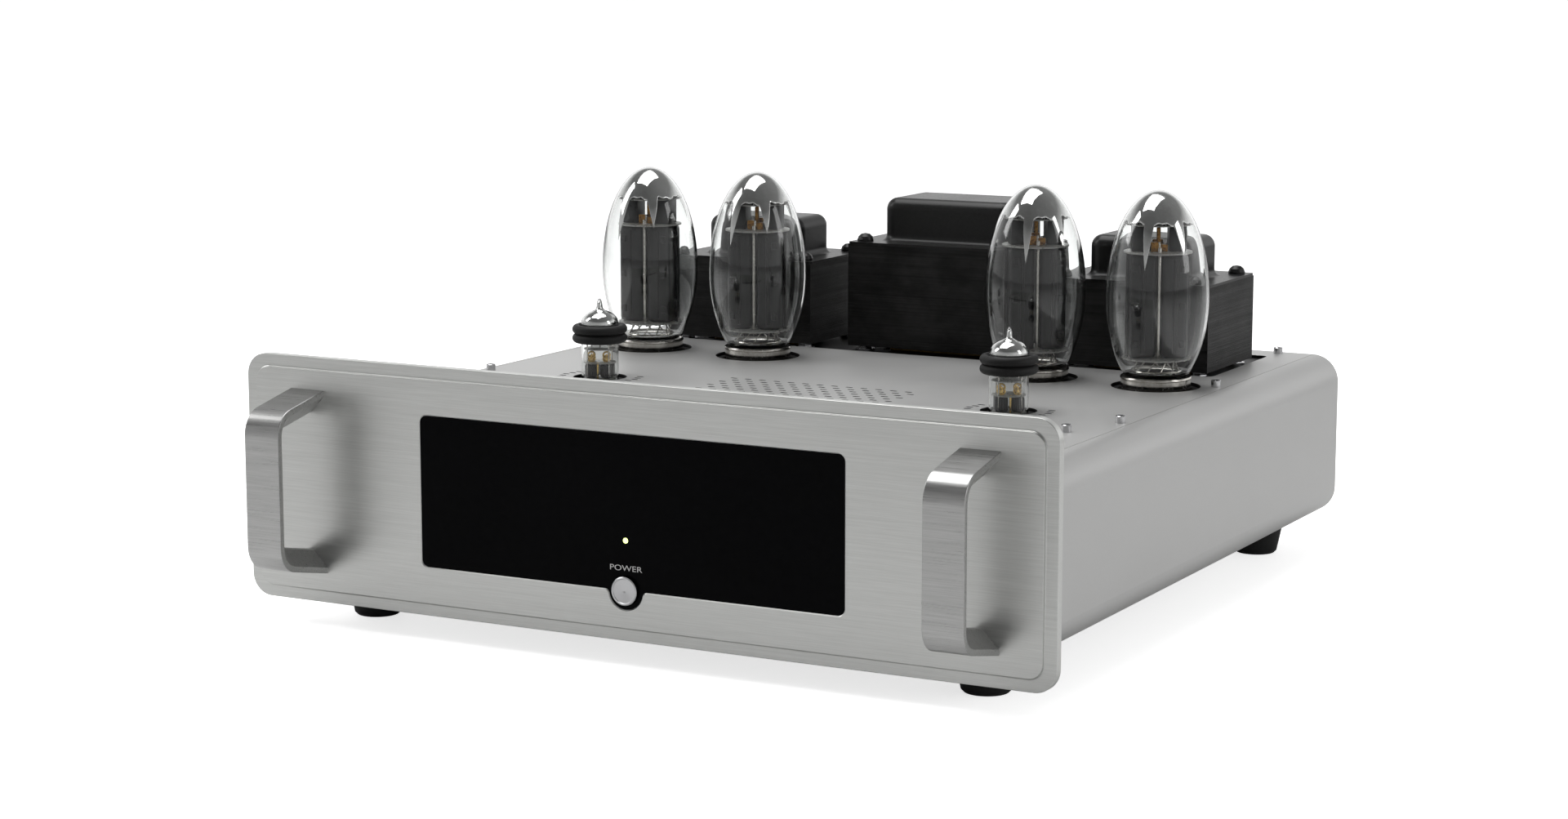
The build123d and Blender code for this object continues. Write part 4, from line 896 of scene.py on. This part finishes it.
def placeDriverTubes():
    template = {
        "shell": (makeDriverGlass(), "clearGlass", "tube_glass"),
        "film": (makeDriverFilm(), "mirrorFilm", "electrodes"),
        "discs": (makeDriverDiscs(), "mica", "electrodes"),
        "plates": (makeDriverPlates(), "carbonPlate", "electrodes"),
        "gold": (makeDriverGold(), "goldPlate", "electrodes"),
        "wires": (makeDriverWires(), "nickel", "electrodes"),
        "pins": (makeDriverPins(), "nickel", "tube_glass"),
    }
    for side, turn in driverTube["turns"].items():
        body = "driver_tube_" + side
        for part, (piece, finish, slot) in template.items():
            copy = copyPiece(piece, f"{body}_{part}", tubeFoot(body), radians(turn))
            wearOne(copy, made[finish])
            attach(copy, body)
            if part == "shell":
                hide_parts(body + "_glass")
            if part == "plates":
                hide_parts(body + "_electrodes")
    dropPieces([piece for piece, _, _ in template.values()])


placeDriverTubes()
print("driver tubes placed")


# lettering by the button, in millimetres

powerWord = {"text": "POWER", "size": 4.2, "height": 38.5, "stretch": 1.35, "thick": 0.04, "proud": 0.03}
paleInk = dict(dark=(0.55, 0.55, 0.55), light=(0.68, 0.68, 0.68), rough=(0.5, 0.6), metal=0.0,
               fine=(2500, 2500, 2500), broad=(200, 200, 200), relief=0.02, depth=0.00001)


def makeWord():
    look = powerWord
    clearSelection()
    bpy.ops.object.text_add(location=(0, 0, 0))
    word = bpy.context.object
    word.data.body = look["text"]
    word.data.size = look["size"] * mm
    word.data.extrude = look["thick"] * mm / 2
    word.data.align_x = "CENTER"
    word.data.align_y = "CENTER"
    bpy.ops.object.convert(target="MESH")
    word = bpy.context.object
    word.data.transform(Matrix.Rotation(pi / 2, 4, "X") @ Matrix.Scale(look["stretch"], 4, (1, 0, 0)))
    place = (0, windowFront - look["proud"] * mm, plateLow + look["height"] * mm)
    word.data.transform(Matrix.Translation(place))
    wearOne(word, makeFinish("paleInk", paleInk))
    settle(word, "power_word", 0)
    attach(word, "chassis")


makeWord()
print("lettering made")


# studio

camera = {
    "place": (0.8229, -1.58375, 0.3897), "yaw": 28.31, "pitch": 9.15, "lens": 72.02, "sensor": 36, "clip": (0.01, 200),
}
floor = {"size": 90, "dark": (0.86, 0.86, 0.86), "light": (0.89, 0.89, 0.89), "rough": 0.6, "gloss": 0.1, "glow": 0.72}
room = {"front": 0.40, "back": 1.05, "backdrop": 1.08, "ceiling": 0.25, "lift": 10.0}
# place, target, size in metres and power in watts
lights = {
    "overheadLight": ((-0.4, 0.2, 2.0), (0, 0.1, 0.1), (1.7, 1.3), 30),
    "leftLight": ((-2.0, -0.6, 1.5), (0, 0, 0.15), (0.7, 1.2), 10),
    "rightLight": ((2.3, 0.2, 1.1), (0, 0, 0.12), (0.6, 1.4), 6),
}


def seenStraight(tree):
    # 1 where the backdrop is seen directly or through clear glass, and 0 where it only lights or is mirrored
    path = tree.nodes.new("ShaderNodeLightPath")
    bounces = combine(tree, "ADD", path.outputs["Glossy Depth"], path.outputs["Diffuse Depth"])
    through = combine(tree, "MULTIPLY", path.outputs["Is Transmission Ray"], combine(tree, "LESS_THAN", bounces, 0.5))
    return combine(tree, "MAXIMUM", path.outputs["Is Camera Ray"], through)


def makeFloor():
    clearSelection()
    bpy.ops.mesh.primitive_grid_add(x_subdivisions=8, y_subdivisions=8, size=floor["size"], location=(0, 0, 0))
    sheet = bpy.context.object
    sheet.name = "floor"
    material, tree, shader = openMaterial("paleFloor")
    cloud = grain(tree, (3, 3, 3), 2.0)
    tree.links.new(tint(tree, cloud, floor["dark"], floor["light"]), shader.inputs["Base Color"])
    shader.inputs["Roughness"].default_value = floor["rough"]
    shader.inputs["Specular IOR Level"].default_value = floor["gloss"]
    shader.inputs["Emission Color"].default_value = (1, 1, 1, 1)
    glow = combine(tree, "MULTIPLY", seenStraight(tree), floor["glow"])
    tree.links.new(glow, shader.inputs["Emission Strength"])
    sheet.data.materials.append(material)


def makeWorld():
    # a bright backdrop behind the object, and a dimmer room with a dim ceiling in front of it
    world = bpy.data.worlds.new("studio")
    world.use_nodes = True
    bpy.context.scene.world = world
    tree = world.node_tree
    back = tree.nodes["Background"]
    back.inputs["Color"].default_value = (1, 1, 1, 1)
    place = tree.nodes.new("ShaderNodeTexCoord")
    apart = tree.nodes.new("ShaderNodeSeparateXYZ")
    tree.links.new(place.outputs["Generated"], apart.inputs[0])
    walls = spread(tree, apart.outputs["Y"], -0.9, 0.8, room["front"], room["back"])
    inside = combine(tree, "MULTIPLY", walls, spread(tree, apart.outputs["Z"], 0.28, 0.6, 1.0, room["ceiling"]))
    lift = combine(tree, "MULTIPLY", seenStraight(tree), room["lift"])
    strength = combine(tree, "MINIMUM", combine(tree, "ADD", inside, lift), room["backdrop"])
    tree.links.new(strength, back.inputs["Strength"])


def addSoftLight(name, place, target, size, power):
    lamp = bpy.data.lights.new(name, "AREA")
    lamp.shape = "RECTANGLE"
    lamp.size, lamp.size_y = size
    lamp.energy = power
    light = bpy.data.objects.new(name, lamp)
    bpy.context.scene.collection.objects.link(light)
    light.location = place
    light.rotation_euler = (Vector(target) - Vector(place)).to_track_quat("-Z", "Y").to_euler()


def makeCamera():
    lens = bpy.data.cameras.new("camera")
    lens.lens = camera["lens"]
    lens.sensor_width = camera["sensor"]
    lens.clip_start, lens.clip_end = camera["clip"]
    viewer = bpy.data.objects.new("camera", lens)
    bpy.context.scene.collection.objects.link(viewer)
    viewer.location = camera["place"]
    viewer.rotation_euler = (radians(90 - camera["pitch"]), 0, radians(camera["yaw"]))
    bpy.context.scene.camera = viewer


makeFloor()
makeWorld()
for name, look in lights.items():
    addSoftLight(name, *look)
makeCamera()
bpy.context.scene.view_settings.view_transform = "Standard"
print("studio made")
